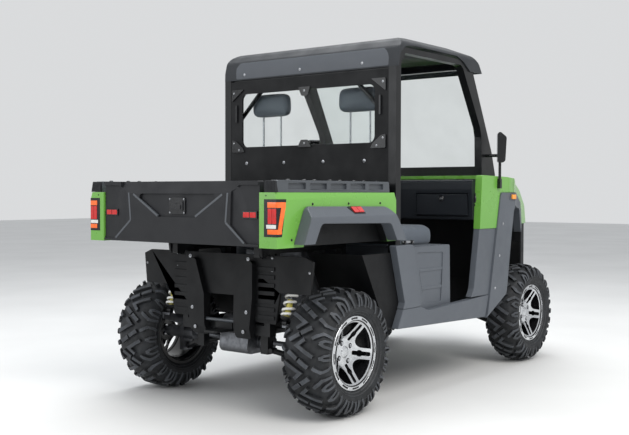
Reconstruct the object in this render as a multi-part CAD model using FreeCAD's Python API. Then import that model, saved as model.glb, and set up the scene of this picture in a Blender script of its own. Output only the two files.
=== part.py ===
import FreeCAD, Part
import math
import os

V = FreeCAD.Vector
os.makedirs("parts", exist_ok=True)

# All sizes are in millimetres. +X is forward, +Y is the driver's side, +Z is up.
# The origin is on the ground under the middle of the vehicle's overall length.

# Driving dimensions
WHEELBASE = 2110
FRONT_OVERHANG = 490
BED_LENGTH = 1019
BODY_Y = 735
TYRE_R = 330
BED_BOTTOM = 884
SEAT_BASE_TOP = 841
BACK_TOP = 1425
COWL_Z = 1258

# Clearances
SEAT_GAP = 0.3
MOVING_GAP = 6
PIN_GAP = 0.3
BED_CAB_GAP = 34
WELL_ROOM = 201
ARCH_ROOM = 280
HEAD_ROOM = 194

# Wheels
TYRE_Y = BODY_Y - 119
REAR_TYRE_WIDTH = 280
FRONT_TYRE_WIDTH = 230
RIM_R = 178
BEAD_INSET = 32
RIM_LIP = 15
RIM_STEPS = 20
REAR_FACE = 50
FRONT_FACE = 44
SPINDLE_R = 17
SPINDLE_SHORT = 6
HUB_R = 34
HUB_BACK = 10

# Anchors along the length
LATCH_DEPTH = 3
CAGE_TUBE = 50
HOOP_AHEAD = TYRE_R + WELL_ROOM
AXLE_AHEAD = TYRE_R + ARCH_ROOM
REAR_OVERHANG = LATCH_DEPTH + BED_LENGTH + BED_CAB_GAP + CAGE_TUBE / 2 - HOOP_AHEAD
CAB_DEPTH = WHEELBASE - HOOP_AHEAD - AXLE_AHEAD
LENGTH = REAR_OVERHANG + WHEELBASE + FRONT_OVERHANG
REAR_X = -LENGTH / 2
NOSE_X = LENGTH / 2
REAR_AXLE_X = REAR_X + REAR_OVERHANG
FRONT_AXLE_X = REAR_AXLE_X + WHEELBASE
BED_REAR = REAR_X + LATCH_DEPTH
BED_FRONT = BED_REAR + BED_LENGTH
CAB_REAR = BED_FRONT + BED_CAB_GAP
HOOP_X = CAB_REAR + CAGE_TUBE / 2
COWL_X = HOOP_X + CAB_DEPTH

# Chassis
RAIL_Z = TYRE_R + 65
RAIL_H = 55
RAIL_W = 50
RAIL_Y = 235
RAIL_UP = RAIL_Z + RAIL_H
TUBE = 50
FRAME_REAR = REAR_AXLE_X - 185
FRAME_FRONT = NOSE_X - 180
CARRIER_Y = RAIL_Y + 65
CARRIER_W = 40
CARRIER_TOP = BED_BOTTOM - MOVING_GAP
CARRIER_H = 50
CARRIER_Z = CARRIER_TOP - CARRIER_H
CARRIER_OUT = CARRIER_Y + CARRIER_W / 2
HITCH_LENGTH = 120
HITCH_HALF = 60
HITCH_THICK = 12
HITCH_HOLE_R = 10
HITCH_X1 = FRAME_REAR - SEAT_GAP
HITCH_HOLE_X = HITCH_X1 - 85
HITCH_Z = RAIL_Z + 8
GUARD_THICK = 15
GEARCASE_Y = 105

# Suspension and steering
ARM_HALF = 110
ARM_PIVOT_Z = TYRE_R - 20
ARM_R = 15
ARM_SIDES = 10
ARM_FLAT = math.cos(math.pi / ARM_SIDES)
BOSS_HALF = 18
EYE_R = 11
EYE_HALF = 15
ARM_IN = RAIL_Y + RAIL_W / 2 + SEAT_GAP
TOWER_TOP = TYRE_R + 360
KINGPIN_Y = TYRE_Y - 71
PIVOT_LOW = TYRE_R - RIM_R + 93
PIVOT_HIGH = TYRE_R + RIM_R - 88
PIVOT_R = 12
HUB_INNER_Y = TYRE_Y - REAR_TYRE_WIDTH / 2 - MOVING_GAP
REAR_TOWER_Y = HUB_INNER_Y - 40
REAR_TOWER_Z = CARRIER_Z - 98
SHOCK_R = 36
SHOCK_SIDES = 10
SHOCK_TURNS = 5

# Load bed
BED_Y = BODY_Y - 65
BED_FLOOR = BED_BOTTOM + 20
BED_TOP = BED_BOTTOM + 264
BED_WALL = 12
BED_WALL_Y = BED_Y - 58
RAIL_TOP = BED_TOP + 59
FLARE_Y = BED_Y + 70
CORNER_Y = BED_Y - 108
CORNER_LENGTH = 76
TAILGATE_THICK = 42
TAILGATE_TOP = RAIL_TOP - 3
TAILGATE_BOTTOM = BED_BOTTOM + 5
TAILGATE_Y = CORNER_Y - MOVING_GAP
TAILGATE_PIN_R = 5
TAILGATE_PIN_X = BED_REAR + 14
TAILGATE_PIN_Z = TAILGATE_BOTTOM + 14
RECESS_DEPTH = 14
SHOULDER_DEPTH = 10
LATCH_HALF = 58
LATCH_Z0 = BED_TOP - 112
LATCH_Z1 = BED_TOP - 27
BED_HINGE_X = FRAME_REAR - 65
BED_HINGE_Z = BED_BOTTOM - 54
BED_PIN_R = 8
BED_LUG = 14
TAIL_LAMP_Y = BED_Y - 78
TAIL_LAMP_Z0 = BED_BOTTOM + 54
TAIL_LAMP_Z1 = BED_TOP - 32
TAIL_LAMP_PROUD = 1

# Cab
CAGE_Y = BODY_Y - 90
CAGE_IN = CAGE_Y - CAGE_TUBE
FLOOR_Z = RAIL_UP + SEAT_GAP
FLOOR_THICK = 6
SILL_TOP = RAIL_Z + 115
PANEL_THICK = 46
PANEL_IN = BODY_Y - PANEL_THICK
DASH_X = COWL_X - 200
DASH_TOP = COWL_Z - 29
DASH_BOTTOM = DASH_TOP - 251
DASH_SKIN = 12
FIREWALL_X = COWL_X + 110
FRONT_POST_X = FIREWALL_X + 30
DOOR_FRONT = COWL_X - 182
PANEL_BOTTOM = COWL_Z - 333
BAND_SLOPE = 118 / 529
BAND_FOOT_X = COWL_X - 83
BAND_FOOT_Z = RAIL_Z + 1
WELL_SLOPE = 229
WELL_FOOT_Z = RAIL_Z + 12

# Seats
SEAT_REAR = HOOP_X + CAGE_TUBE / 2 + MOVING_GAP
SEAT_BASE_REAR = HOOP_X + 75
SEAT_BASE_FRONT = HOOP_X + 498
SEAT_BASE_SKIN = 14
SEAT_FRONT = SEAT_BASE_FRONT + 8
CUSHION_TOP = SEAT_BASE_TOP + 119
SEAT_Y0 = 35
SEAT_Y1 = CAGE_IN - 15
BACK_THICK = 100
HEADREST_Y = SEAT_Y1 - 245
HEADREST_HALF = 155
HEADREST_RISE = 183
HEADREST_Z = BACK_TOP + HEADREST_RISE
HEADREST_TOP = HEADREST_Z + 160
HEADREST_POST_R = 6

# Cage, window and roof heights
CAGE_RAIL_TOP = HEADREST_TOP + HEAD_ROOM
CAGE_RAIL_H = 32
HOOP_TOP = CAGE_RAIL_TOP - 62
HOOP_STEP_Z = HOOP_TOP - 50
HOOP_STEP = 22
BRACE_R = 13
WINDOW_Y = CAGE_IN - 95
WINDOW_Z1 = HOOP_STEP_Z - 90
WINDOW_Z0 = WINDOW_Z1 - 330
WINDOW_R = 40
PANEL_X = CAB_REAR + 1
CAB_PANEL_THICK = 14
GLASS = 5
ROOF_TOP = CAGE_RAIL_TOP + 84
ROOF_SKIN = 8
ROOF_Y = CAGE_Y + ROOF_SKIN + SEAT_GAP
ROOF_REAR = CAB_REAR + 3

# Glove box, in the dash on the passenger's side
GLOVE_Y1 = PANEL_IN - 34
GLOVE_Y0 = GLOVE_Y1 - 365
GLOVE_Z0 = DASH_BOTTOM + 27
GLOVE_Z1 = GLOVE_Z0 + 135
GLOVE_DEPTH = 150
LID_THICK = 16
LID_PIN_R = 3

# Steering wheel
STEER_WHEEL_R = 180
STEER_GRIP_R = 13
WHEEL_HUB = V(COWL_X - 345, HEADREST_Y, COWL_Z - 68)
COLUMN_FOOT = V(FIREWALL_X - 12, HEADREST_Y, COWL_Z - 328)

# Nose
FENDER_SPLIT_Y = BODY_Y - 305
NOSE_SKIN = 14
FLARE_PROUD = 8
FENDER_LOW = COWL_Z - 108
HOOD_FRONT = NOSE_X - 118
HOOD_LOW = COWL_Z - 328
LINER_Y = 330
FASCIA_X = NOSE_X - 62
FASCIA_Y = TYRE_Y - FRONT_TYRE_WIDTH / 2 - 15
FASCIA_SKIN = 14
LAMP_Y1 = FASCIA_Y - 16
LAMP_Y0 = LAMP_Y1 - 180
LAMP_Z1 = HOOD_LOW - 40
LAMP_Z0 = LAMP_Z1 - 90
GRILLE_Y = LAMP_Y0 - 50
BUMPER_R = 20
BUMPER_SIDES = 12


def box(x0, x1, y0, y1, z0, z1):
    return Part.makeBox(x1 - x0, y1 - y0, z1 - z0, V(x0, y0, z0))


def wire(points, place):
    """A closed wire through (u, v) or (u, v, r) points. A corner with an r is a tangent arc."""
    spots = [V(p[0], p[1], 0) for p in points]
    ends = []
    for i, spot in enumerate(spots):
        r = points[i][2] if len(points[i]) > 2 else 0
        if not r:
            ends.append((spot, spot, None))
            continue
        back = (spots[i - 1] - spot).normalize()
        on = (spots[(i + 1) % len(spots)] - spot).normalize()
        half = back.getAngle(on) / 2
        reach = r / math.tan(half)
        middle = spot + (back + on).normalize() * (r / math.sin(half) - r)
        ends.append((spot + back * reach, spot + on * reach, middle))
    edges = []
    for i, (start, end, middle) in enumerate(ends):
        if middle:
            edges.append(Part.Arc(place(start), place(middle), place(end)).toShape())
        after = ends[(i + 1) % len(ends)][0]
        if (after - end).Length > 1e-6:
            edges.append(Part.makeLine(place(end), place(after)))
    return Part.Wire(edges)


def side(points, y0, y1):
    """A plate whose outline is (x, z) points, from y0 to y1."""
    face = Part.Face(wire(points, lambda p: V(p.x, y0, p.y)))
    return face.extrude(V(0, y1 - y0, 0))


def front(points, x0, x1):
    """A plate whose outline is (y, z) points, from x0 to x1."""
    face = Part.Face(wire(points, lambda p: V(x0, p.x, p.y)))
    return face.extrude(V(x1 - x0, 0, 0))


def plan(points, z0, z1):
    """A plate whose outline is (x, y) points, from z0 to z1."""
    face = Part.Face(wire(points, lambda p: V(p.x, p.y, z0)))
    return face.extrude(V(0, 0, z1 - z0))


def both_ways(half):
    """An outline's (x, y) points on the left side, and their mirror images in reverse."""
    return half + [(p[0], -p[1], *p[2:]) for p in reversed(half)]


def both_sides(half):
    """An outline's (y, z) points on the left side, and their mirror images in reverse."""
    return half + [(-p[0], *p[1:]) for p in reversed(half)]


def rod(start, end, r):
    start, end = V(*start), V(*end)
    return Part.makeCylinder(r, (end - start).Length, start, end - start)


def bar(start, end, r, sides):
    """A round bar with flat sides."""
    start, end = V(*start), V(*end)
    along = (end - start).normalize()
    across = along.cross(V(0, 0, 1) if abs(along.z) < 0.9 else V(1, 0, 0)).normalize()
    other = along.cross(across)
    turns = [2 * math.pi * (i + 0.5) / sides for i in range(sides)]
    corners = [start + across * (r * math.cos(a)) + other * (r * math.sin(a)) for a in turns]
    return Part.Face(Part.makePolygon(corners + corners[:1])).extrude(end - start)


def solid_of(faces):
    """A closed solid from faces of three or four points in order. A bent face is folded into two."""
    flat = []
    for f in faces:
        if len(f) == 4 and abs((f[1] - f[0]).cross(f[2] - f[0]).dot(f[3] - f[0])) > 1e-3:
            flat += [[f[0], f[1], f[2]], [f[0], f[2], f[3]]]
        else:
            flat.append(f)
    solid = Part.Solid(Part.Shell([Part.Face(Part.makePolygon(f + f[:1])) for f in flat]))
    return solid if solid.Volume > 0 else solid.reversed()


def faceted(section, steps):
    """A ring of flat facets about the Y axis. Its section is (y, radius) points from the origin."""
    rings = []
    for i in range(steps):
        turn = 2 * math.pi * i / steps
        rings.append([V(r * math.sin(turn), y, r * math.cos(turn)) for y, r in section])
    faces = []
    for i, ring in enumerate(rings):
        after = rings[(i + 1) % steps]
        for j in range(len(section)):
            k = (j + 1) % len(section)
            corners = [ring[j], ring[k], after[k], after[j]]
            if section[j][1] < 1e-6:
                corners.pop(3)
            elif section[k][1] < 1e-6:
                corners.pop(2)
            if section[j][1] > 1e-6 or section[k][1] > 1e-6:
                faces.append(corners)
    return solid_of(faces)


def fuse(shapes):
    return shapes[0].multiFuse(shapes[1:]).removeSplitter()


def mirrored(shape):
    return shape.mirror(V(0, 0, 0), V(0, 1, 0))


def pair(shape):
    """The piece on the left side and its mirror image on the right side."""
    return [shape, mirrored(shape)]


def moved(shape, x, y, z):
    shape.translate(V(x, y, z))
    return shape


def save(name, shapes):
    solids = []
    for shape in shapes:
        solids += shape.Solids
    for solid in solids:
        if not solid.isValid() or solid.Volume <= 0:
            print("check the solid in", name)
    Part.makeCompound(solids).exportStep("parts/" + name + ".step")


# Chassis


def carrier(y):
    """One of the bed's carriers with its hinge lug and columns, and the damper tower beside it."""
    half = CARRIER_W / 2
    end = HOOP_X - 45
    lug = [(BED_HINGE_X - 16, BED_HINGE_Z - 20, 10), (BED_HINGE_X + 40, BED_HINGE_Z - 20, 10),
           (BED_HINGE_X + 60, CARRIER_TOP), (BED_HINGE_X - 16, CARRIER_TOP, 10)]
    shapes = [box(BED_HINGE_X - 14, end, y - half, y + half, CARRIER_Z, CARRIER_TOP),
              side(lug, y - half, y + half)]
    for x in (FRAME_REAR + half, end - half):
        shapes.append(box(x - half, x + half, y - half, y + half, RAIL_Z, CARRIER_Z + 1))
    tower_out = REAR_TOWER_Y + 30
    tower_low = REAR_TOWER_Z - 40
    tower = front([(CARRIER_Y - half, CARRIER_Z + 5), (CARRIER_Y - half, tower_low), (tower_out, tower_low),
                   (tower_out, REAR_TOWER_Z), (CARRIER_Y + half, CARRIER_Z - 24),
                   (CARRIER_Y + half, CARRIER_Z + 5)],
                  REAR_AXLE_X - 130, REAR_AXLE_X - 100)
    shapes.append(tower if y > 0 else mirrored(tower))
    return shapes


def chassis_frame():
    """Main rails, crossmembers, the bed's carriers, damper towers and pivot brackets in one weldment."""
    shapes = []
    w = RAIL_W / 2
    for y in (-RAIL_Y, RAIL_Y):
        shapes.append(box(FRAME_REAR, FRAME_FRONT, y - w, y + w, RAIL_Z, RAIL_UP))
        x0 = FRONT_AXLE_X - ARM_HALF - 22
        x1 = FRONT_AXLE_X + ARM_HALF + 22
        shapes.append(box(x0, x1, y - w, y + w, TOWER_TOP - 40, TOWER_TOP))
        for x in (x0, x1 - 44):
            shapes.append(box(x, x + 44, y - w, y + w, RAIL_UP, TOWER_TOP))
        for axle in (REAR_AXLE_X, FRONT_AXLE_X):
            for x in (axle - ARM_HALF, axle + ARM_HALF):
                shapes.append(box(x - 22, x + 22, y - w, y + w, ARM_PIVOT_Z - 20, RAIL_Z))
    # The crossmembers' columns: middle x, half reach along y
    crossmembers = [
        (FRAME_REAR + TUBE / 2, CARRIER_OUT),
        (REAR_AXLE_X + 175, RAIL_Y),
        (HOOP_X, CAGE_Y),
        (DASH_X - 60, PANEL_IN - 6),
        (FRONT_POST_X, CAGE_Y),
        (FRAME_FRONT - TUBE / 2, CARRIER_Y),
    ]
    for x, reach in crossmembers:
        shapes.append(box(x - TUBE / 2, x + TUBE / 2, -reach, reach, RAIL_Z, RAIL_UP))
    end = HOOP_X - 45
    for z0, z1 in ((RAIL_Z, RAIL_UP), (CARRIER_Z, CARRIER_TOP)):
        shapes.append(box(end - CARRIER_W, end, -CARRIER_Y, CARRIER_Y, z0, z1))
    for s in (-1, 1):
        shapes += carrier(s * CARRIER_Y)
        inner = s * (CARRIER_OUT - 1)
        outer = s * (CARRIER_OUT + MOVING_GAP + BED_LUG + 3)
        shapes.append(rod((BED_HINGE_X, inner, BED_HINGE_Z), (BED_HINGE_X, outer, BED_HINGE_Z), BED_PIN_R))
    return fuse(shapes)


def tow_hitch():
    """A plate behind the rear beam with an upright hole for a tow ball's shank."""
    x0 = HITCH_X1 - HITCH_LENGTH
    plate = plan(both_ways([(HITCH_X1, HITCH_HALF), (x0, HITCH_HALF - 15, 20)]),
                 HITCH_Z, HITCH_Z + HITCH_THICK)
    flange = box(HITCH_X1 - 8, HITCH_X1, -HITCH_HALF, HITCH_HALF, HITCH_Z, RAIL_UP)
    hole = rod((HITCH_HOLE_X, 0, HITCH_Z - 5), (HITCH_HOLE_X, 0, HITCH_Z + HITCH_THICK + 5), HITCH_HOLE_R)
    return fuse([plate, flange]).cut(hole)


def tail_guard():
    """The moulded guard behind the gearcase: middle panel, two hanging arms and ribbed outer wings."""
    x1 = FRAME_REAR - SEAT_GAP
    x0 = x1 - GUARD_THICK
    top = CARRIER_Z - 6
    arm_in, arm_out = GEARCASE_Y, CARRIER_Y - 60
    foot = RAIL_Z - 19
    waist = RAIL_Z + 205
    wing_in = REAR_FOOT[1] - 53
    wing_out = TYRE_Y
    over_tyre = 2 * TYRE_R - 28
    shapes = [front([(-arm_out, waist), (arm_out, waist), (arm_out, top, 10), (-arm_out, top, 10)], x0, x1)]
    arm = front([(arm_in, foot, 12), (arm_out - 28, foot, 12), (arm_out, waist), (arm_out, top - 32, 20),
                 (arm_in + 70, top - 32, 20), (arm_in + 5, waist)], x0 - 35, x1)
    bevel = side([(x0 - 36, foot - 1), (x0 - 10, foot - 1), (x0 - 36, foot + 60)], 0, wing_out)
    wing = front([(arm_out - 10, RAIL_Z + 75, 10), (wing_in, RAIL_Z + 71, 10),
                  (wing_in + 28, over_tyre - 2), (wing_out - 16, over_tyre), (wing_out, top - 22),
                  (wing_out - 56, top, 10), (arm_out - 10, top)], x0, x1)
    ribs = []
    rib_in = arm_out + 14
    for z in range(8):
        low = RAIL_Z + 94 + 42 * z
        ribs.append(box(x0 - 6, x0 + 2, rib_in, wing_in - 6, low, low + 20))
    post = box(x0 - 1, x1 + 1, CARRIER_Y - CARRIER_W / 2 - 2, CARRIER_OUT + 2, top - 20, CARRIER_TOP)
    half = fuse([wing] + [rib for rib in ribs if rib.BoundBox.ZMax < top - 24] + [arm.cut(bevel)])
    return fuse(shapes + pair(half)).cut(pair(post))


# Drive


def engine_block():
    reach = RAIL_Y - RAIL_W / 2 - SEAT_GAP
    return box(REAR_AXLE_X + 215, HOOP_X - 95, -reach, reach, RAIL_Z + 10, CARRIER_Z - 10)


def rear_drive():
    """The rear gearcase with its half shafts out to the hub carriers."""
    x = REAR_AXLE_X
    case = side([(x - 130, TYRE_R - 60, 40), (x + 110, TYRE_R - 60, 40), (x + 140, TYRE_R + 150, 30),
                 (x - 90, TYRE_R + 150, 50)], -GEARCASE_Y, GEARCASE_Y)
    shapes = [case]
    # The shaft's columns: radius, inner y, outer y
    steps = [
        (42, GEARCASE_Y - 2, GEARCASE_Y + 75),
        (14, GEARCASE_Y - 2, HUB_INNER_Y - SEAT_GAP),
        (40, HUB_INNER_Y - 70, HUB_INNER_Y - SEAT_GAP),
    ]
    for r, y0, y1 in steps:
        for s in (-1, 1):
            shapes.append(bar((x, s * y0, TYRE_R), (x, s * y1, TYRE_R), r, ARM_SIDES))
    return fuse(shapes)


# Suspension

# The dampers' ends from their axle's middle, as (x, y, z)
FRONT_FOOT = (0, (RAIL_Y + KINGPIN_Y) / 2 + 10, TYRE_R - 8)
FRONT_HEAD = (0, RAIL_Y + 60, TOWER_TOP - 50)
REAR_FOOT = (-185, HUB_INNER_Y - 45, TYRE_R + 148)
REAR_HEAD = (-115, HUB_INNER_Y - 45, REAR_TOWER_Z - 60)


def wishbone(x, outer, inner_z, boss_axis):
    """Two tubes from one outer boss to two sleeves beside the frame."""
    boss = V(*outer)
    shapes = [bar(boss - boss_axis * BOSS_HALF, boss + boss_axis * BOSS_HALF, ARM_R + 3, ARM_SIDES)]
    y = ARM_IN + ARM_R * ARM_FLAT
    for dx in (-ARM_HALF, ARM_HALF):
        shapes.append(bar((x + dx, y, inner_z), outer, ARM_R, ARM_SIDES))
        shapes.append(bar((x + dx - 20, y, inner_z), (x + dx + 24, y, inner_z), ARM_R, ARM_SIDES))
    return shapes


def ball_stud(x, z, pivot, way):
    """The post and stud that carry the kingpin's ball joint, from the arm's boss towards the pivot."""
    post = bar((x, KINGPIN_Y, z), (x, KINGPIN_Y, pivot - way * (14 + PIN_GAP)), ARM_R + 3, ARM_SIDES)
    return [post, rod((x, KINGPIN_Y, z), (x, KINGPIN_Y, pivot + way * 10), PIVOT_R)]


def suspension_arms():
    """Upper and lower wishbones at each wheel. The front ones end in the kingpin's ball studs."""
    x = FRONT_AXLE_X
    low_z = PIVOT_LOW - 45
    high_z = PIVOT_HIGH + 45
    low = wishbone(x, (x, KINGPIN_Y, low_z), ARM_PIVOT_Z, V(0, 0, 1)) + ball_stud(x, low_z, PIVOT_LOW, 1)
    _, foot_y, foot_z = FRONT_FOOT
    low.append(box(x - 60, x + 60, foot_y - 12, foot_y + 12, foot_z - 66, foot_z - 48))
    for dx in (-EYE_HALF - SEAT_GAP - 8, EYE_HALF + SEAT_GAP):
        low.append(box(x + dx, x + dx + 8, foot_y - 14, foot_y + 14, foot_z - 66, foot_z + 3))
    high = wishbone(x, (x, KINGPIN_Y, high_z), high_z + 40, V(0, 0, 1))
    high += ball_stud(x, high_z, PIVOT_HIGH, -1)
    x = REAR_AXLE_X
    reach = HUB_INNER_Y - SEAT_GAP - (ARM_R + 3) * ARM_FLAT
    rear_low = wishbone(x, (x, reach, PIVOT_LOW + 11), ARM_PIVOT_Z, V(1, 0, 0))
    rear_high = wishbone(x, (x, reach, PIVOT_HIGH - 5), RAIL_UP - 22, V(1, 0, 0))
    shapes = []
    for arm in (low, high, rear_low, rear_high):
        shapes += pair(fuse(arm))
    return shapes


def shock(x, foot, head, pin):
    """A coil-over damper: eyes, body and rod inside a ribbed sleeve in place of its spring."""
    foot = V(x + foot[0], foot[1], foot[2])
    head = V(x + head[0], head[1], head[2])
    length = (head - foot).Length
    cap = 26
    pitch = (length - 2 * cap) / SHOCK_TURNS
    section = [(6, 0), (cap - 6, SHOCK_R - 4), (cap, SHOCK_R - 4)]
    for i in range(SHOCK_TURNS):
        start = cap + pitch * i
        section += [(start + pitch * 0.25, SHOCK_R), (start + pitch * 0.65, SHOCK_R),
                    (start + pitch, SHOCK_R - 12)]
    section += [(length - cap + 4, SHOCK_R - 4), (length - 6, 0)]
    body = faceted(section, SHOCK_SIDES)
    body.rotate(V(0, 0, 0), V(1, 0, 0), 90)
    eyes = [Part.makeCylinder(EYE_R, 2 * EYE_HALF, pin * -EYE_HALF + V(0, 0, z), pin) for z in (0, length)]
    solid = fuse([body] + eyes)
    solid.Placement = FreeCAD.Placement(foot, FreeCAD.Rotation(V(0, 0, 1), head - foot))
    return solid


def shock_absorbers():
    front_shock = shock(FRONT_AXLE_X, FRONT_FOOT, FRONT_HEAD, V(1, 0, 0))
    rear_shock = shock(REAR_AXLE_X, REAR_FOOT, REAR_HEAD, V(0, 1, 0))
    return pair(front_shock) + pair(rear_shock)


def rear_hub_carriers():
    """The uprights that hold the rear spindles, with an arm back to the damper's foot."""
    x = REAR_AXLE_X
    y = HUB_INNER_Y
    low = PIVOT_LOW - 17
    high = PIVOT_HIGH + 17
    body = box(x - 35, x + 35, y, y + 32, low, high)
    flange = bar((x, y + 31, TYRE_R), (x, TYRE_Y + HUB_BACK - 3, TYRE_R), HUB_R, RIM_STEPS)
    spindle = rod((x, y + 31, TYRE_R), (x, TYRE_Y + REAR_FACE - SPINDLE_SHORT, TYRE_R), SPINDLE_R)
    foot_x = x + REAR_FOOT[0]
    seat = REAR_FOOT[2] - EYE_R - SEAT_GAP
    arm = side([(x - 30, high - 61), (x - 30, high), (foot_x - 16, seat),
                (foot_x - 16, seat - 36, 8)], y - 12, y + 1)
    shelf = box(foot_x - EYE_HALF, foot_x + EYE_HALF, REAR_FOOT[1] - EYE_R, y - 11, seat - 12, seat)
    return pair(fuse([body, flange, spindle, arm, shelf]))


# Wheels

PERIODS = 8
LUG_HEIGHT = 18
LUG_ROOT = 12
TYRE_STEPS = 2 * PERIODS
TREAD_HALF = 140
# The tread's lugs in one period, for a tyre of half width TREAD_HALF. The columns: width, then both
# ends of its middle line as (across the tread towards the outboard side, along it).
LUGS = [
    (26, (-58, -36), (58, 36)),
    (22, (-8, -50), (124, 0)),
    (26, (-58, -94), (58, -166)),
    (22, (8, -210), (-124, -260)),
]


def tyre_skin(width):
    """The tyre's outer skin under its lugs, from the crown's edge to the bead, as (y, radius)."""
    half = width / 2
    return [(half - 52, TYRE_R - LUG_HEIGHT), (half, TYRE_R - 85),
            (half - BEAD_INSET, RIM_R + RIM_LIP + MOVING_GAP),
            (half - BEAD_INSET, RIM_R - 10)]


def on_tread(width, s):
    """The (y, radius) point on the lugs' tops at a distance across the tread from the crown."""
    skin = [(0, TYRE_R - LUG_HEIGHT)] + tyre_skin(width)
    way = 1 if s >= 0 else -1
    left = abs(s)
    for (y0, r0), (y1, r1) in zip(skin, skin[1:]):
        run = math.hypot(y1 - y0, r1 - r0)
        if left <= run:
            y = y0 + (y1 - y0) * left / run + (r0 - r1) / run * LUG_HEIGHT
            return way * min(y, width / 2 - 2), r0 + (r1 - r0) * left / run + (y1 - y0) / run * LUG_HEIGHT
        left -= run
    return way * skin[-1][0], skin[-1][1]


def lug_tops(width, across, start, end):
    """A lug's top corners about its own upright line, as (along the tread, y, up from the axle)."""
    scale = width / 2 / TREAD_HALF
    start = V(start[0] * scale, start[1], 0)
    end = V(end[0] * scale, end[1], 0)
    along = (end - start).normalize()
    normal = V(-along.y, along.x, 0) * (across / 2)
    middle = (start.y + end.y) / 2
    tops = []
    for corner in (start + normal, start - normal, end - normal, end + normal):
        y, r = on_tread(width, corner.x)
        run = corner.y - middle
        tops.append(V(run, y, math.sqrt(r * r - run * run)))
    return tops


def lug(width, across, start, end):
    """One block of the tread with flat upright sides. Its foot follows the tyre's shoulder in."""
    high = lug_tops(width, across, start, end)
    low = []
    for i, top in enumerate(high):
        inward = V(high[3 - i].x - top.x, high[3 - i].y - top.y, 0).normalize()
        pull = (TYRE_R - math.hypot(top.x, top.z)) / 2
        low.append(top + inward * pull - V(0, 0, LUG_HEIGHT + LUG_ROOT))
    faces = [low[::-1], high]
    faces += [[low[i - 1], low[i], high[i], high[i - 1]] for i in range(4)]
    block = solid_of(faces)
    block.rotate(V(0, 0, 0), V(0, 1, 0), math.degrees((start[1] + end[1]) / 2 / TYRE_R))
    return block


def tyre(width):
    """A tyre about the origin: a casing of flat facets, two to a period of the tread, with its lugs."""
    centre, axis = V(0, 0, 0), V(0, 1, 0)
    casing = faceted(both_sides(tyre_skin(width)), TYRE_STEPS)
    casing.rotate(centre, axis, -180 / TYRE_STEPS)
    blocks = []
    for row in LUGS:
        for i in range(PERIODS):
            block = lug(width, *row)
            block.rotate(centre, axis, 360 / PERIODS * i)
            blocks.append(block)
    bore = Part.makeCylinder(RIM_R + SEAT_GAP, width, V(0, -width / 2, 0), axis)
    solid = fuse([casing] + blocks).cut(bore)
    # A corner of the first lug, whose upright line is the wheel's own, is turned straight below the axle.
    corner = lug_tops(width, *LUGS[0])[3]
    solid.rotate(centre, axis, 180 - math.degrees(math.atan2(corner.x, corner.z)))
    return solid


SPOKES = 5
SPOKE_TURN = 28
SPOKE_HALF = 29
SLOT_HALF = 11
WINDOW_IN = 86


def rim_window():
    """A window between two spokes, as (y, z) points in the wheel's plane about its upward line."""
    gap = math.pi / SPOKES
    outer = RIM_R - 20
    reach = gap - math.asin(SPOKE_HALF / outer)
    wide = outer * math.sin(reach)
    top = outer * math.cos(reach)
    # The half width at the inner end leaves each spoke SPOKE_HALF wide on its own side.
    narrow = WINDOW_IN * math.tan(gap) - SPOKE_HALF / math.cos(gap)
    half = [(wide / 2, outer - (outer - top) / 4), (wide, top), (narrow + 4, WINDOW_IN + 8),
            (narrow - 8, WINDOW_IN - 6)]
    return half + [(-p[0], p[1]) for p in reversed(half)]


def rim(width, face):
    """A cast rim about the origin: barrel with two lips, a dished disc with five twin spokes, a bored hub."""
    half = width / 2 - BEAD_INSET + SEAT_GAP
    lip = RIM_R + RIM_LIP
    inner = RIM_R - 10
    barrel = faceted([(-half - 8, inner), (-half - 8, lip), (-half, lip), (-half, RIM_R), (half, RIM_R),
                      (half, lip), (half + 8, lip), (half + 8, inner)], RIM_STEPS)
    disc = faceted([(face - 20, HUB_R - 4), (face - 20, 66), (half - 20, inner + 3), (half - 2, inner + 3),
                    (face, 70), (face, HUB_R - 4)], RIM_STEPS)
    cutters = []
    for i in range(SPOKES):
        window = Part.Face(wire(rim_window(), lambda p: V(p.x, face - 60, p.y))).extrude(V(0, 200, 0))
        slot = box(-SLOT_HALF, SLOT_HALF, face - 60, face + 140, 62, RIM_R - 22)
        window.rotate(V(0, 0, 0), V(0, 1, 0), SPOKE_TURN + 360 / SPOKES * (i + 0.5))
        slot.rotate(V(0, 0, 0), V(0, 1, 0), SPOKE_TURN + 360 / SPOKES * i)
        cutters += [window, slot]
    hub = Part.makeCylinder(HUB_R, face - HUB_BACK + 2, V(0, HUB_BACK, 0), V(0, 1, 0))
    bore = Part.makeCylinder(SPINDLE_R + PIN_GAP, face, V(0, HUB_BACK - 1, 0), V(0, 1, 0))
    return fuse([barrel, disc.cut(cutters), hub]).cut(bore)


def knuckle():
    """The steered carrier, held by an upper and a lower ball joint on the kingpin line."""
    x = FRONT_AXLE_X
    y = KINGPIN_Y
    plate = box(x - 30, x + 30, y + 22, y + 36, PIVOT_LOW - 14, PIVOT_HIGH + 14)
    ears = [box(x - 26, x + 26, y - 24, y + 24, z - 14, z + 14) for z in (PIVOT_LOW, PIVOT_HIGH)]
    flange = bar((x, y + 35, TYRE_R), (x, TYRE_Y + HUB_BACK - 3, TYRE_R), HUB_R, RIM_STEPS)
    spindle = rod((x, y + 35, TYRE_R), (x, TYRE_Y + FRONT_FACE - SPINDLE_SHORT, TYRE_R), SPINDLE_R)
    bores = [rod((x, y, z - 20), (x, y, z + 20), PIVOT_R + PIN_GAP) for z in (PIVOT_LOW, PIVOT_HIGH)]
    return fuse([plate, flange, spindle] + ears).cut(bores)


# Cab body


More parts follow.
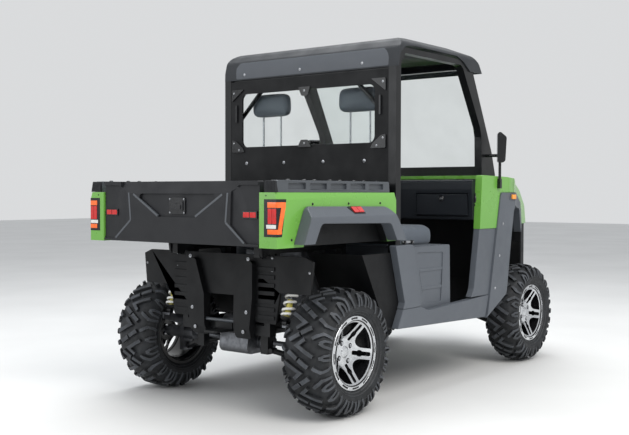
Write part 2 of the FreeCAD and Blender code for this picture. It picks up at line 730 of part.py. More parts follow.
def floor_pan():
    """The cab floor with its toe board and firewall, open at the doors."""
    x0 = HOOP_X + CAGE_TUBE / 2 + SEAT_GAP
    x1 = FIREWALL_X
    y = PANEL_IN - SEAT_GAP
    outline = [(x0, FLOOR_Z), (x1, FLOOR_Z), (x1, DASH_TOP - 40), (x1 - FLOOR_THICK, DASH_TOP - 40),
               (x1 - FLOOR_THICK, FLOOR_Z + 140), (x1 - 120, FLOOR_Z + FLOOR_THICK),
               (x0, FLOOR_Z + FLOOR_THICK)]
    return side(outline, -y, y)


def seat_base():
    """A hollow box under the seats, with a framed inset and two ribs in the panel at each end."""
    x0 = SEAT_BASE_REAR
    x1 = SEAT_BASE_FRONT
    z0 = FLOOR_Z + FLOOR_THICK + SEAT_GAP
    z1 = SEAT_BASE_TOP
    y = PANEL_IN - SEAT_GAP
    skin = SEAT_BASE_SKIN
    shell = side([(x0 + 60, z0), (x1 + 10, z0), (x1, z1, 12), (x0, z1)], -y, y)
    hollow = side([(x0 + 60 + skin, z0 + skin), (x1 + 10 - skin, z0 + skin), (x1 - skin, z1 - skin),
                   (x0 + skin, z1 - skin)], -y + skin, y - skin)
    frame = side([(x0 + 130, z0 + 60, 15), (x1 - 100, z0 + 50, 15), (x1 - 76, z1 - 40, 15),
                  (x0 + 52, z1 - 32, 15)],
                 y - 6, y + 1)
    for low in (z0 + 135, z0 + 240):
        frame = frame.cut(box(x0, x1, y - 7, y - 2, low, low + 16))
    return shell.cut([hollow] + pair(frame))


def seat_cushions():
    x0 = SEAT_REAR + BACK_THICK + SEAT_GAP
    low = SEAT_BASE_TOP + SEAT_GAP
    top = [(x0, low, 10), (SEAT_FRONT, low, 15), (SEAT_FRONT, CUSHION_TOP, 50), (x0, CUSHION_TOP - 15, 12)]
    return pair(side(top, SEAT_Y0, SEAT_Y1))


def seat_backs():
    """Two back rests, each with its headrest on two posts."""
    x = SEAT_REAR
    z0 = SEAT_BASE_TOP + SEAT_GAP
    back = side([(x, z0, 10), (x + BACK_THICK, z0), (x + BACK_THICK, CUSHION_TOP), (x + 70, BACK_TOP, 30),
                 (x, BACK_TOP, 10)], SEAT_Y0 + 12, SEAT_Y1 - 12)
    head = side([(x + 4, HEADREST_Z, 20), (x + 84, HEADREST_Z, 30), (x + 78, HEADREST_TOP, 30),
                 (x + 4, HEADREST_TOP, 30)],
                HEADREST_Y - HEADREST_HALF, HEADREST_Y + HEADREST_HALF)
    posts = [bar((x + 38, HEADREST_Y + dy, BACK_TOP - 10),
                 (x + 38, HEADREST_Y + dy, HEADREST_Z + 16), HEADREST_POST_R, 8)
             for dy in (-50, 50)]
    return pair(fuse([back, head] + posts))


def band_x(z):
    """The rear edge of the front flare's band at height z."""
    return BAND_FOOT_X + (z - BAND_FOOT_Z) * BAND_SLOPE


def rocker_panels():
    """The moulded sill under each door opening."""
    low = BAND_FOOT_Z - 22
    points = [(HOOP_X - 136, BAND_FOOT_Z + 12), (band_x(low) - 14, low),
              (band_x(SILL_TOP) - SEAT_GAP, SILL_TOP),
              (HOOP_X + 186, SILL_TOP - 28, 10), (HOOP_X + 100, SILL_TOP), (HOOP_X - 80, SILL_TOP)]
    return pair(side(points, PANEL_IN + SEAT_GAP, BODY_Y))


def b_pillar_panels():
    """The leaning grey panels behind the seat, up to the latch ledge."""
    x = HOOP_X
    low = SILL_TOP + SEAT_GAP
    top = SEAT_BASE_TOP + 19
    points = [(x - 80, low), (x + 99, low), (x + 103, low + 24), (x + 20, top, 8), (x - 159, top + 3, 8),
              (x - 66, low + 35, 10)]
    return pair(side(points, PANEL_IN + SEAT_GAP, BODY_Y))


def well_panels():
    """The black sheets in front of each rear wheel, with the closing plate beside the B-pillar panel."""
    top = CARRIER_Z - 6
    foot = HOOP_X - 174
    head = foot - WELL_SLOPE
    slope = [(head - 8, top), (foot - 8, WELL_FOOT_Z), (foot, WELL_FOOT_Z), (head, top)]
    sheet = side(slope, CARRIER_OUT + 4, PANEL_IN)
    cheek = side([(head - 2, top), (foot - 6, WELL_FOOT_Z), (foot + 64, WELL_FOOT_Z),
                  (foot + 124, SILL_TOP + 4),
                  (foot + 138, SILL_TOP + 35), (foot + 44, top)], PANEL_IN - 12, PANEL_IN)
    return pair(fuse([sheet, cheek]))


def jamb_panels():
    """The grey jamb under each A-pillar panel, down to the sill."""
    top = PANEL_BOTTOM - SEAT_GAP
    low = SILL_TOP + SEAT_GAP
    points = [(DOOR_FRONT - 100, low), (band_x(low) - SEAT_GAP, low), (band_x(top) - SEAT_GAP, top),
              (DOOR_FRONT, top),
              (DOOR_FRONT - 66, SILL_TOP + 50, 60)]
    return pair(side(points, PANEL_IN + SEAT_GAP, BODY_Y - 3))


def column_axis():
    return (COLUMN_FOOT - WHEEL_HUB).normalize()


def dashboard():
    """A moulded dash across the cab with the glove box's hollow at its passenger end."""
    x = DASH_X
    y = PANEL_IN - SEAT_GAP
    back = FIREWALL_X - FLOOR_THICK - SEAT_GAP
    skin = DASH_SKIN
    behind = x + LID_THICK + GLOVE_DEPTH
    shell = side([(x + 12, DASH_BOTTOM, 10), (x + 170, DASH_BOTTOM), (back, DASH_BOTTOM + 60),
                  (back, DASH_TOP), (x, DASH_TOP, 20), (x - 4, DASH_TOP - 60, 12)], -y, y)
    hollow = box(x + LID_THICK, behind, -GLOVE_Y1 + 8, -GLOVE_Y0 - 8, GLOVE_Z0 + 10, GLOVE_Z1 - 8)
    recess = box(x - 40, x + LID_THICK + MOVING_GAP, -GLOVE_Y1 - MOVING_GAP, -GLOVE_Y0 + MOVING_GAP,
                 GLOVE_Z0 - MOVING_GAP, GLOVE_Z1 + MOVING_GAP)
    swing = box(x - 40, x + 4, -GLOVE_Y1 - MOVING_GAP, -GLOVE_Y0 + MOVING_GAP, GLOVE_Z0 - 14, GLOVE_Z0)
    cavity = side([(behind + skin, DASH_BOTTOM + skin + 10), (back - skin, DASH_BOTTOM + 80),
                   (back - skin, DASH_TOP - skin), (behind + skin, DASH_TOP - skin)], -y + skin, y - skin)
    tunnel = Part.makeCylinder(46, 420, WHEEL_HUB, column_axis())
    return shell.cut([hollow, recess, swing, cavity, tunnel])


def lid_pivot():
    return (DASH_X + LID_THICK / 2, GLOVE_Z0 + LID_THICK / 2)


def glove_box_lid():
    """The glove box lid, hinged along its lower edge on two pins in the dash."""
    x, z = lid_pivot()
    foot = LID_THICK / 2 - 0.2
    lid = side([(DASH_X, GLOVE_Z0, foot), (DASH_X + LID_THICK, GLOVE_Z0, foot),
                (DASH_X + LID_THICK, GLOVE_Z1),
                (DASH_X - 3, GLOVE_Z1, 4)], -GLOVE_Y1, -GLOVE_Y0)
    reach = MOVING_GAP - SEAT_GAP
    pins = [rod((x, -GLOVE_Y1 - reach, z), (x, -GLOVE_Y1 + 4, z), LID_PIN_R),
            rod((x, -GLOVE_Y0 - 4, z), (x, -GLOVE_Y0 + reach, z), LID_PIN_R)]
    return fuse([lid] + pins)


def steering_wheel():
    """A three-spoke wheel whose grip is a ring of flat facets."""
    grip = []
    for i in range(8):
        turn = 2 * math.pi * i / 8
        grip.append((STEER_GRIP_R * math.sin(turn),
                     STEER_WHEEL_R - STEER_GRIP_R + STEER_GRIP_R * math.cos(turn)))
    ring = faceted(grip, 28)
    ring.rotate(V(0, 0, 0), V(1, 0, 0), 90)
    spokes = []
    for angle in (90, 210, 330):
        spoke = Part.makeBox(STEER_WHEEL_R - 16, 26, 10, V(0, -13, -5))
        spoke.rotate(V(0, 0, 0), V(0, 0, 1), angle)
        spokes.append(spoke)
    centre = Part.makeCylinder(42, 40, V(0, 0, -18))
    wheel = fuse([ring, centre] + spokes)
    wheel.Placement = FreeCAD.Placement(WHEEL_HUB, FreeCAD.Rotation(V(0, 0, 1), column_axis()))
    return wheel


def steering_column():
    """The column's shaft and shroud, from the wheel's hub to the firewall."""
    axis = column_axis()
    start = WHEEL_HUB + axis * 22.3
    wall = FIREWALL_X - FLOOR_THICK - SEAT_GAP
    shaft = rod(start, COLUMN_FOOT, 17)
    shroud = rod(WHEEL_HUB + axis * 40, WHEEL_HUB + axis * 130, 40)
    beyond = box(wall, wall + 60, HEADREST_Y - 150, HEADREST_Y + 150, COLUMN_FOOT.z - 150,
                 COLUMN_FOOT.z + 150)
    return fuse([shaft, shroud]).cut(beyond)


# Front body


def cowl():
    """The green cowl at the windshield's foot, with the A-pillar panels down to the jambs."""
    x = COWL_X
    end = x + 200
    reach = PANEL_IN + 5
    thick = 22
    knee = COWL_Z - 124
    top = side([(x - 10, COWL_Z - thick), (end, COWL_Z - thick - 8), (end, COWL_Z - 8),
                (x - 10, COWL_Z)], -reach, reach)
    outline = [(DOOR_FRONT, PANEL_BOTTOM), (band_x(PANEL_BOTTOM) - SEAT_GAP, PANEL_BOTTOM),
               (band_x(knee) - SEAT_GAP, knee), (band_x(knee) + 12, FENDER_LOW + SEAT_GAP),
               (end, FENDER_LOW + SEAT_GAP),
               (end, COWL_Z - 8), (DOOR_FRONT + 25, COWL_Z, 20)]
    panels = pair(side(outline, PANEL_IN + SEAT_GAP, BODY_Y))
    return fuse([top] + panels).cut(pair(front_post(SEAT_GAP)))


def nose_plan(grow):
    """The nose seen from above, grown outwards by a margin."""
    y = BODY_Y + grow
    x = FRONT_AXLE_X
    return both_ways([(COWL_X - 120, y), (x - 325, y), (x - 85, y - 110, 200), (x + 155, y - 185, 200),
                      (HOOD_FRONT + 80, y - 275)])


def nose_profile(inset):
    """The hood's side view, drawn in by a skin."""
    x = FRONT_AXLE_X
    return [(COWL_X + 200 + SEAT_GAP, FENDER_LOW), (COWL_X + 200 + SEAT_GAP, COWL_Z - 9 - inset),
            (x - 175, COWL_Z - 26 - inset, 300), (x + 95, COWL_Z - 93 - inset, 300),
            (HOOD_FRONT - 60 - inset, COWL_Z - 198 - inset, 60), (HOOD_FRONT - inset, HOOD_LOW),
            (x + 160, HOOD_LOW),
            (x + 95, COWL_Z - 178), (x - 105, FENDER_LOW)]


def nose_shell():
    low = RAIL_Z
    outer = side(nose_profile(0), -BODY_Y - 5, BODY_Y + 5).common(plan(nose_plan(0), low, COWL_Z + 100))
    inner = side(nose_profile(NOSE_SKIN), -BODY_Y - 5, BODY_Y + 5)
    inner = inner.common(plan(nose_plan(-NOSE_SKIN), low, COWL_Z + 100))
    lower = inner.copy()
    return outer.cut([inner, moved(lower, 0, 0, -30)])


def hood_and_fenders():
    shell = nose_shell()
    far = 2 * BODY_Y
    hood = shell.common(box(COWL_X, NOSE_X, -FENDER_SPLIT_Y, FENDER_SPLIT_Y, 0, 2 * COWL_Z))
    fender = shell.common(box(COWL_X, NOSE_X, FENDER_SPLIT_Y + SEAT_GAP, far, 0, 2 * COWL_Z))
    return hood, fender


def front_flare():
    """The grey wheel-arch moulding ahead of the door, which narrows towards the nose."""
    x = FRONT_AXLE_X
    low = FENDER_LOW - SEAT_GAP
    knee = COWL_Z - 124
    outline = [(band_x(BAND_FOOT_Z - 22) - 13, BAND_FOOT_Z - 26), (BAND_FOOT_X, BAND_FOOT_Z),
               (band_x(knee), knee),
               (band_x(knee) + 12, low), (x - 105, low), (x + 95, COWL_Z - 178 - SEAT_GAP),
               (x + 158, HOOD_LOW - 6, 20), (x + 130, HOOD_LOW - 68, 10), (x + 108, HOOD_LOW - 25, 15),
               (x + 45, HOOD_LOW + 110, 40), (x - 335, HOOD_LOW + 145, 60), (x - 382, HOOD_LOW - 89, 60),
               (x - 441, SILL_TOP - 9, 60)]
    block = side(outline, BODY_Y - 250, BODY_Y + FLARE_PROUD)
    ring = plan(nose_plan(FLARE_PROUD), 0, COWL_Z + 100)
    ring = ring.cut(plan(nose_plan(-PANEL_THICK), -10, COWL_Z + 110))
    return block.common(ring)


def front_liner():
    """The dark arch liner inside each front flare."""
    x = FRONT_AXLE_X
    foot = SILL_TOP - 40
    outer = [(x - 436, foot), (x - 392, HOOD_LOW - 80), (x - 345, HOOD_LOW + 155), (x + 50, HOOD_LOW + 120),
             (x + 118, HOOD_LOW - 15)]
    inner = [(x + 110, HOOD_LOW - 18), (x + 44, HOOD_LOW + 112), (x - 338, HOOD_LOW + 147),
             (x - 384, HOOD_LOW - 80),
             (x - 428, foot)]
    sheet = side(outer + inner, LINER_Y, BODY_Y)
    return sheet.common(plan(nose_plan(-PANEL_THICK - SEAT_GAP), 0, COWL_Z + 100))


def fascia_plan(y, x1, x0):
    """The nose moulding seen from above, between its back and its bowed front."""
    return both_ways([(x0, y), (x1 - 80, y, 30), (x1, 0.6 * y, 120)])


def fascia():
    """The nose moulding under the hood: slotted grille between two lamp pockets."""
    x1 = FASCIA_X
    x0 = x1 - 95
    top = HOOD_LOW - SEAT_GAP
    foot = HOOD_LOW - 370
    skin = FASCIA_SKIN
    profile = [(x0 - 40, foot), (x1 - 30, foot + 30, 30), (x1, foot + 200, 60), (x1 - 45, top),
               (x0 - 40, top)]
    bow = plan(fascia_plan(FASCIA_Y, x1 + 5, x0 - 60), foot - 10, top + 10)
    outer = side(profile, -FASCIA_Y, FASCIA_Y).common(bow)
    hollow = side([(x0 - 50, foot + skin), (x1 - 50, foot + 30 + skin), (x1 - 20, foot + 200),
                   (x1 - 62, top - skin),
                   (x0 - 50, top - skin)], -FASCIA_Y + skin, FASCIA_Y - skin)
    hollow = hollow.common(plan(fascia_plan(FASCIA_Y - skin, x1 - skin, x0 - 60), foot, top))
    slots = [box(x0, x1 + 20, -GRILLE_Y, GRILLE_Y, foot + z, foot + z + 26) for z in (120, 162, 204, 246)]
    g = SEAT_GAP
    lamps = pair(box(x0 - 60, x1 + 20, LAMP_Y0 - g, LAMP_Y1 + g, LAMP_Z0 - g, LAMP_Z1 + g))
    return outer.cut([hollow] + slots + lamps)


def headlamps():
    """Two lamp units set flush in the nose moulding's pockets."""
    x1 = FASCIA_X
    shape = side([(x1 - 110, LAMP_Z0), (x1 - 8, LAMP_Z0), (x1 - 32, LAMP_Z1),
                  (x1 - 110, LAMP_Z1)], LAMP_Y0, LAMP_Y1)
    taper = plan([(x1 - 130, LAMP_Y0 - 10), (x1 - 6, LAMP_Y0 - 10), (x1 - 6, LAMP_Y0 + 20),
                  (x1 - 66, LAMP_Y1 + 10),
                  (x1 - 130, LAMP_Y1 + 10)], LAMP_Z0 - 10, LAMP_Z1 + 10)
    return pair(shape.common(taper))


def front_bumper():
    """A tubular guard in front of the nose moulding, on two arms from the frame."""
    r = BUMPER_R
    x = NOSE_X - r * math.cos(math.pi / BUMPER_SIDES)
    knee = RAIL_Z + 105
    y = RAIL_Y
    shapes = []
    # The cross tubes' columns: height, half reach
    for z, reach in ((knee + 140, y + 165), (knee + 270, y + 65)):
        shapes.append(bar((x, -reach, z), (x, reach, z), r, BUMPER_SIDES))
    for s in (-1, 1):
        shapes.append(bar((x, s * y, knee - 8), (x, s * y, knee + 272), r, BUMPER_SIDES))
        shapes.append(bar((x + 4, s * y, knee + 3), (FRAME_FRONT - 5, s * y, RAIL_Z + 35), r, BUMPER_SIDES))
        shapes.append(box(FRAME_FRONT + SEAT_GAP, FRAME_FRONT + 14, s * y - 35, s * y + 35,
                          RAIL_Z, RAIL_UP))
    frame_end = box(FRAME_FRONT - 60, FRAME_FRONT + SEAT_GAP, -y - 100, y + 100, RAIL_Z - 100,
                    RAIL_UP + 100)
    return fuse(shapes).cut([frame_end, box(NOSE_X, NOSE_X + 50, -y - 200, y + 200, 0, COWL_Z)])


# Cage, glass and roof


def front_post(grow):
    half = CAGE_TUBE / 2 + grow
    return box(FRONT_POST_X - half, FRONT_POST_X + half, CAGE_IN - grow, CAGE_Y + grow, RAIL_UP + SEAT_GAP,
               COWL_Z + 60)


def roll_cage():
    """A square-tube cage: rear hoop, roof rails, leaning pillars with broad feet, crossbars and braces."""
    x = HOOP_X
    half = CAGE_TUBE / 2
    foot = RAIL_UP + SEAT_GAP
    pillar_x = COWL_X - 192
    rail_low = CAGE_RAIL_TOP - CAGE_RAIL_H
    sill = COWL_Z + SEAT_GAP
    side_frame = side([
        (x - half, foot), (x + half, foot), (x + half, HOOP_TOP - 30, 30), (x + half + 45, rail_low),
        (COWL_X - 255, rail_low, 60), (COWL_X - 20, COWL_Z + 302), (COWL_X - 2, COWL_Z + 242, 30),
        (COWL_X + 4, sill),
        (COWL_X + 190, sill), (COWL_X + 138, COWL_Z + 151, 120), (pillar_x + 40, CAGE_RAIL_TOP, 80),
        (x + 60, CAGE_RAIL_TOP, 60), (x - half + HOOP_STEP, HOOP_TOP),
        (x - half + HOOP_STEP, HOOP_STEP_Z), (x - half, HOOP_STEP_Z)], CAGE_IN, CAGE_Y)
    shapes = pair(side_frame) + pair(front_post(0))
    reach = CAGE_IN + 1
    # The crossbars' columns: rear x, front x, low z, high z
    crossbars = [
        (x - half + HOOP_STEP, x + half, HOOP_STEP_Z - 10, HOOP_TOP - 10),
        (COWL_X - 215, COWL_X - 175, rail_low - 20, CAGE_RAIL_TOP - 8),
        (COWL_X + 125, COWL_X + 165, sill, COWL_Z + 62),
    ]
    for x0, x1, z0, z1 in crossbars:
        shapes.append(box(x0, x1, -reach, reach, z0, z1))
    for s in (-1, 1):
        start = (x + 8, s * (CAGE_IN - 305), HOOP_TOP - 50)
        shapes.append(bar(start, (x + 8, s * (CAGE_IN + 3), HOOP_TOP - 355), BRACE_R, ARM_SIDES))
    return fuse(shapes)


def window_outline(gap):
    """The rear window's rounded outline, drawn in by a gap."""
    y = WINDOW_Y - gap
    z0 = WINDOW_Z0 + gap
    z1 = WINDOW_Z1 - gap
    return [(-y, z0, WINDOW_R), (y, z0, WINDOW_R), (y, z1, WINDOW_R), (-y, z1, WINDOW_R)]


def rear_cab_panel():
    """The black rear wall between the hoop's posts with its window cut out."""
    reach = CAGE_IN - SEAT_GAP
    top = HOOP_STEP_Z - 10 - SEAT_GAP
    low = SEAT_BASE_TOP + 19
    x = PANEL_X
    panel = front([(-reach, low), (reach, low), (reach, top), (-reach, top)], x, x + CAB_PANEL_THICK)
    return panel.cut(front(window_outline(0), x - 1, x + CAB_PANEL_THICK + 1))


def cab_glass():
    """The rear window's pane and the leaning windshield."""
    rear = front(window_outline(SEAT_GAP), PANEL_X + 4, PANEL_X + 4 + GLASS)
    low = (COWL_X + 152, COWL_Z + 62 + SEAT_GAP)
    high = (COWL_X - 178, CAGE_RAIL_TOP - CAGE_RAIL_H - 20 - SEAT_GAP)
    reach = CAGE_IN - SEAT_GAP
    windshield = side([low, high, (high[0] + GLASS, high[1]), (low[0] + GLASS, low[1])], -reach, reach)
    return [rear, windshield]


def roof_profile(inset):
    """The roof's side view, drawn in by a skin."""
    x0 = ROOF_REAR
    x1 = COWL_X
    top = ROOF_TOP - inset
    foot = HOOP_TOP - 200
    return [(x0 + inset, foot), (x0 + 6 + inset, HOOP_TOP), (x0 + 22 + inset, CAGE_RAIL_TOP, 60),
            (x0 + 70, top - 28, 80),
            (x0 + 330, top + 2, 300), (x1 - 400, top + 2, 300), (x1 - 130, top - 48, 100),
            (x1 - 55, top - 91, 40),
            (x1 - 12 - inset, HOOP_TOP - 5), (x1 - 12 - inset, foot)]


def roof_section(inset):
    """The roof's section across the cab, with two raised plateaus."""
    y = ROOF_Y - inset
    top = ROOF_TOP - inset
    return both_sides([(y, HOOP_TOP - 200), (y, top - 56, 40), (y - 93, top - 10, 50), (y - 213, top - 10),
                       (y - 233, top), (150, top), (128, top - 20)])


def roof():
    """A moulded roof cap over the cage with two raised plateaus and arched side edges."""
    x0 = ROOF_REAR
    x1 = COWL_X
    far = ROOF_Y + 10
    outer = side(roof_profile(0), -far, far).common(front(roof_section(0), x0 - 5, x1 + 5))
    inner = side(roof_profile(ROOF_SKIN), -far, far).common(front(roof_section(ROOF_SKIN), x0 - 5, x1 + 5))
    low = HOOP_TOP - 300
    below = side([(x0 - 10, low), (x0 - 10, HOOP_TOP - 50), (x0 + 10, HOOP_TOP - 50),
                  (x0 + 33, HOOP_TOP + 29, 60),
                  (x0 + 85, CAGE_RAIL_TOP + 6, 60), (x0 + 170, CAGE_RAIL_TOP + 18),
                  (x1 - 335, CAGE_RAIL_TOP + 15),
                  (x1 - 250, CAGE_RAIL_TOP - 12, 50), (x1 - 165, HOOP_TOP - 1), (x1 + 20, HOOP_TOP - 1),
                  (x1 + 20, low)],
                 -far, far)
    return outer.cut([inner, below])


# How far the mirror heads are turned in, in degrees
MIRROR_TURN = 60


def mirror_unit():
    """A door mirror, turned in, on an upright stem from the A-pillar panel, with a clamp to the pillar."""
    x = COWL_X + 70
    y = BODY_Y + 12
    z = COWL_Z
    head = side([(x - 26, z + 82, 14), (x + 22, z + 82, 20), (x + 30, z + 242, 20), (x - 14, z + 280, 14),
                 (x - 26, z + 262, 10)], y - 45, y + 52)
    head.rotate(V(x + 2, y + 3.5, z), V(0, 0, 1), MIRROR_TURN)
    stem = bar((x - 16, y, z - 78), (x - 16, y, z + 92), 9, ARM_SIDES)
    clip = box(x - 28, x - 4, BODY_Y + SEAT_GAP, y + 9, z - 82, z - 22)
    arm = bar((x - 10, CAGE_Y + SEAT_GAP, z + 127), (x - 10, y - 10, z + 127), 10, ARM_SIDES)
    return pair(fuse([head, stem, clip, arm]))


# Load bed


def bed_tub():
    """The bed's floor, side walls and front wall, with the hinge lugs under its floor."""
    x0 = BED_REAR + TAILGATE_THICK + MOVING_GAP + 5
    x1 = BED_FRONT
    corner = BED_REAR + CORNER_LENGTH + SEAT_GAP
    wall = BED_WALL_Y + BED_WALL
    notch = CORNER_Y - SEAT_GAP
    floor = plan(both_ways([(x0, notch), (corner, notch), (corner, wall), (x1, wall)]),
                 BED_BOTTOM, BED_FLOOR)
    shapes = [floor, box(x1 - BED_WALL, x1, -wall, wall, BED_BOTTOM, RAIL_TOP - 6)]
    x = BED_HINGE_X
    lug_in = CARRIER_OUT + MOVING_GAP
    lug = side([(x - 30, BED_BOTTOM + 1), (x - 18, BED_HINGE_Z - 18, 16), (x + 18, BED_HINGE_Z - 18, 16),
                (x + 60, BED_BOTTOM + 1)], lug_in, lug_in + BED_LUG)
    shapes += pair(box(corner, x1, BED_WALL_Y, wall, BED_BOTTOM, BED_TOP)) + pair(lug)
    bore = rod((x, lug_in - 1, BED_HINGE_Z), (x, lug_in + BED_LUG + 1, BED_HINGE_Z), BED_PIN_R + PIN_GAP)
    return fuse(shapes).cut(pair(bore))


def tail_lamp(grow):
    """A tail lamp that wraps the bed's rear corner, or the pocket that it sits in."""
    x = BED_REAR
    out = TAIL_LAMP_PROUD + (50 if grow else 0)
    return side([(x - out, TAIL_LAMP_Z0 - grow), (x + 39 + grow, TAIL_LAMP_Z0 - grow),
                 (x + 71 + grow, TAIL_LAMP_Z1 + grow),
                 (x - out, TAIL_LAMP_Z1 + grow)], TAIL_LAMP_Y - grow, BED_Y + out)


def arch_opening():
    """The opening in a bed side over the rear wheel, whose edge lies behind the flare."""
    x0 = BED_REAR
    x1 = BED_FRONT
    foot = BED_BOTTOM - 20
    outline = [(x0 + 194, foot), (x0 + 249, BED_BOTTOM + 122, 40), (x1 - 141, BED_BOTTOM + 110, 40),
               (x1 - 76, foot)]
    return side(outline, CORNER_Y, BED_Y + 1)


def bed_side_panels():
    """The green bed sides with a chamfered top edge and deep corner blocks around the tail lamps."""
    y0 = BED_WALL_Y + BED_WALL + SEAT_GAP
    block = box(BED_REAR, BED_FRONT, CORNER_Y, BED_Y, BED_BOTTOM, BED_TOP)
    chamfer = front([(BED_Y - 14, BED_TOP + 1), (BED_Y + 1, BED_TOP + 1), (BED_Y + 1, BED_TOP - 43)],
                    BED_REAR - 1, BED_FRONT + 1)
    inner = box(BED_REAR + CORNER_LENGTH, BED_FRONT + 1, CORNER_Y - 1, y0, BED_BOTTOM - 1, BED_TOP + 1)
    pin = rod((TAILGATE_PIN_X, CORNER_Y - 10, TAILGATE_PIN_Z),
              (TAILGATE_PIN_X, CORNER_Y + 20, TAILGATE_PIN_Z),
              TAILGATE_PIN_R + PIN_GAP)
    return pair(block.cut([chamfer, inner, tail_lamp(SEAT_GAP), pin, arch_opening()]))


def bed_rails():
    """The dark caps along the bed's sides, with pockets between ribs."""
    z0 = BED_TOP + SEAT_GAP
    x0 = BED_REAR + 15
    x1 = BED_FRONT - BED_WALL - 30
    y1 = BED_Y - 15
    cap = side([(x0, z0), (x1, z0), (x1 - 6, RAIL_TOP, 12), (x0 + 6, RAIL_TOP, 12)], BED_WALL_Y, y1)
    pockets = []
    count = 5
    step = (x1 - x0 - 120) / count
    for i in range(count):
        start = x0 + 90 + step * i
        pockets.append(box(start, start + step - 34, y1 - 14, y1 + 1, z0 + 16, RAIL_TOP - 14))
    return pair(cap.cut(pockets))


def bed_flares():
    """The grey arch mouldings over the rear wheels, fixed to the bed's sides."""
    x0 = BED_REAR
    x1 = BED_FRONT
    z = BED_BOTTOM
    outline = [(x0 + 124, z + 15), (x0 + 205, z + 197, 40), (x1 - 121, z + 190, 60), (x1 + 4, z + 4),
               (x1 - 92, z + 7),
               (x1 - 151, z + 101, 40), (x0 + 260, z + 113, 40), (x0 + 208, z + 15)]
    arch = side(outline, BED_Y + SEAT_GAP, FLARE_Y)
    top = front([(FLARE_Y + 1, z + 116), (FLARE_Y + 1, z + 236), (BED_Y - 1, z + 236),
                 (BED_Y + 12, z + 201),
                 (FLARE_Y - 4, z + 146)], x0, x1 + 50)
    return pair(arch.cut(top))


def tailgate():
    """The drop-down tailgate: a proud middle with a V recess, set-back ends and a bevelled top edge."""
    x0 = BED_REAR
    x1 = BED_REAR + TAILGATE_THICK
    y = TAILGATE_Y
    top = TAILGATE_TOP
    slab = front(both_sides([(y, TAILGATE_BOTTOM), (y, top, 8)]), x0, x1)
    recess = front(both_sides([(132, BED_TOP - 127, 20),
                               (325, BED_TOP - 7, 20)]), x0 - 1, x0 + RECESS_DEPTH)
    ends = pair(front([(y - 78, TAILGATE_BOTTOM + 11), (y + 1, TAILGATE_BOTTOM + 11), (y + 1, top - 20),
                       (y - 120, top - 20),
                       (y - 176, top - 51), (y - 181, BED_TOP - 160)], x0 - 1, x0 + SHOULDER_DEPTH))
    bevel = side([(x0 - 1, top - 60), (x0 + 1, top - 60), (x0 + 22, top + 1),
                  (x0 - 1, top + 1)], -y + 136, y - 136)
    reach = CORNER_Y + 12
    pins = [rod((TAILGATE_PIN_X, s * (y - 10), TAILGATE_PIN_Z),
                (TAILGATE_PIN_X, s * reach, TAILGATE_PIN_Z), TAILGATE_PIN_R)
            for s in (-1, 1)]
    return fuse([slab.cut([recess, bevel] + ends)] + pins)


def tailgate_latch():
    """The latch plate in the tailgate's recess and the two reflectors on its ends."""
    plate = box(REAR_X, BED_REAR + RECESS_DEPTH - SEAT_GAP, -LATCH_HALF, LATCH_HALF, LATCH_Z0, LATCH_Z1)
    back = BED_REAR + SHOULDER_DEPTH - SEAT_GAP
    reflectors = pair(box(back - 6, back, TAILGATE_Y - 106, TAILGATE_Y - 11, BED_TOP - 126, BED_TOP - 89))
    return [plate] + reflectors


def main():
    hood, fender = hood_and_fenders()
    pieces = {
        "chassis_frame": [chassis_frame()],
        "tow_hitch": [tow_hitch()],
        "tail_guard": [tail_guard()],
        "engine_block": [engine_block()],
        "rear_drive": [rear_drive()],
        "suspension_arms": suspension_arms(),
        "shock_absorbers": shock_absorbers(),
        "rear_hub_carriers": rear_hub_carriers(),
        "floor_pan": [floor_pan()],
        "seat_base": [seat_base()],
        "seat_cushions": seat_cushions(),
        "seat_backs": seat_backs(),
        "rocker_panels": rocker_panels(),
        "b_pillar_panels": b_pillar_panels(),
        "well_panels": well_panels(),
        "jamb_panels": jamb_panels(),
        "dashboard": [dashboard()],
        "glove_box_lid": [glove_box_lid()],
        "steering_wheel": [steering_wheel()],
        "steering_column": [steering_column()],
        "cowl": [cowl()],
        "hood": [hood],
        "front_fenders": pair(fender),
        "front_flares": pair(front_flare()),
        "front_liners": pair(front_liner()),
        "front_fascia": [fascia()],
        "headlamps": headlamps(),
        "front_bumper": [front_bumper()],
        "roll_cage": [roll_cage()],
        "rear_cab_panel": [rear_cab_panel()],
        "cab_glass": cab_glass(),
        "roof": [roof()],
        "mirrors": mirror_unit(),
        "bed_tub": [bed_tub()],
        "bed_side_panels": bed_side_panels(),
        "bed_rails": bed_rails(),
        "bed_flares": bed_flares(),
        "tail_lamps": pair(tail_lamp(0)),
        "tailgate": [tailgate()],
        "tailgate_latch": tailgate_latch(),
    }
    # The wheels' columns: place, middle x, tyre width, the hub's face from the tyre's middle
    wheels = [
        ("rear", REAR_AXLE_X, REAR_TYRE_WIDTH, REAR_FACE),
        ("front", FRONT_AXLE_X, FRONT_TYRE_WIDTH, FRONT_FACE),
    ]
    for place, x, width, face in wheels:
        tyres = pair(moved(tyre(width), x, TYRE_Y, TYRE_R))
        rims = pair(moved(rim(width, face), x, TYRE_Y, TYRE_R))
        for i, side_name in enumerate(("left", "right")):
            pieces[place + "_tyre_" + side_name] = [tyres[i]]
            pieces[place + "_rim_" + side_name] = [rims[i]]
    for side_name, shape in zip(("left", "right"), pair(knuckle())):
        pieces["knuckle_" + side_name] = [shape]
    for name, shapes in pieces.items():
        save(name, shapes)


main()
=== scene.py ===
import math

import bmesh
import bpy
from mathutils import Matrix, Vector


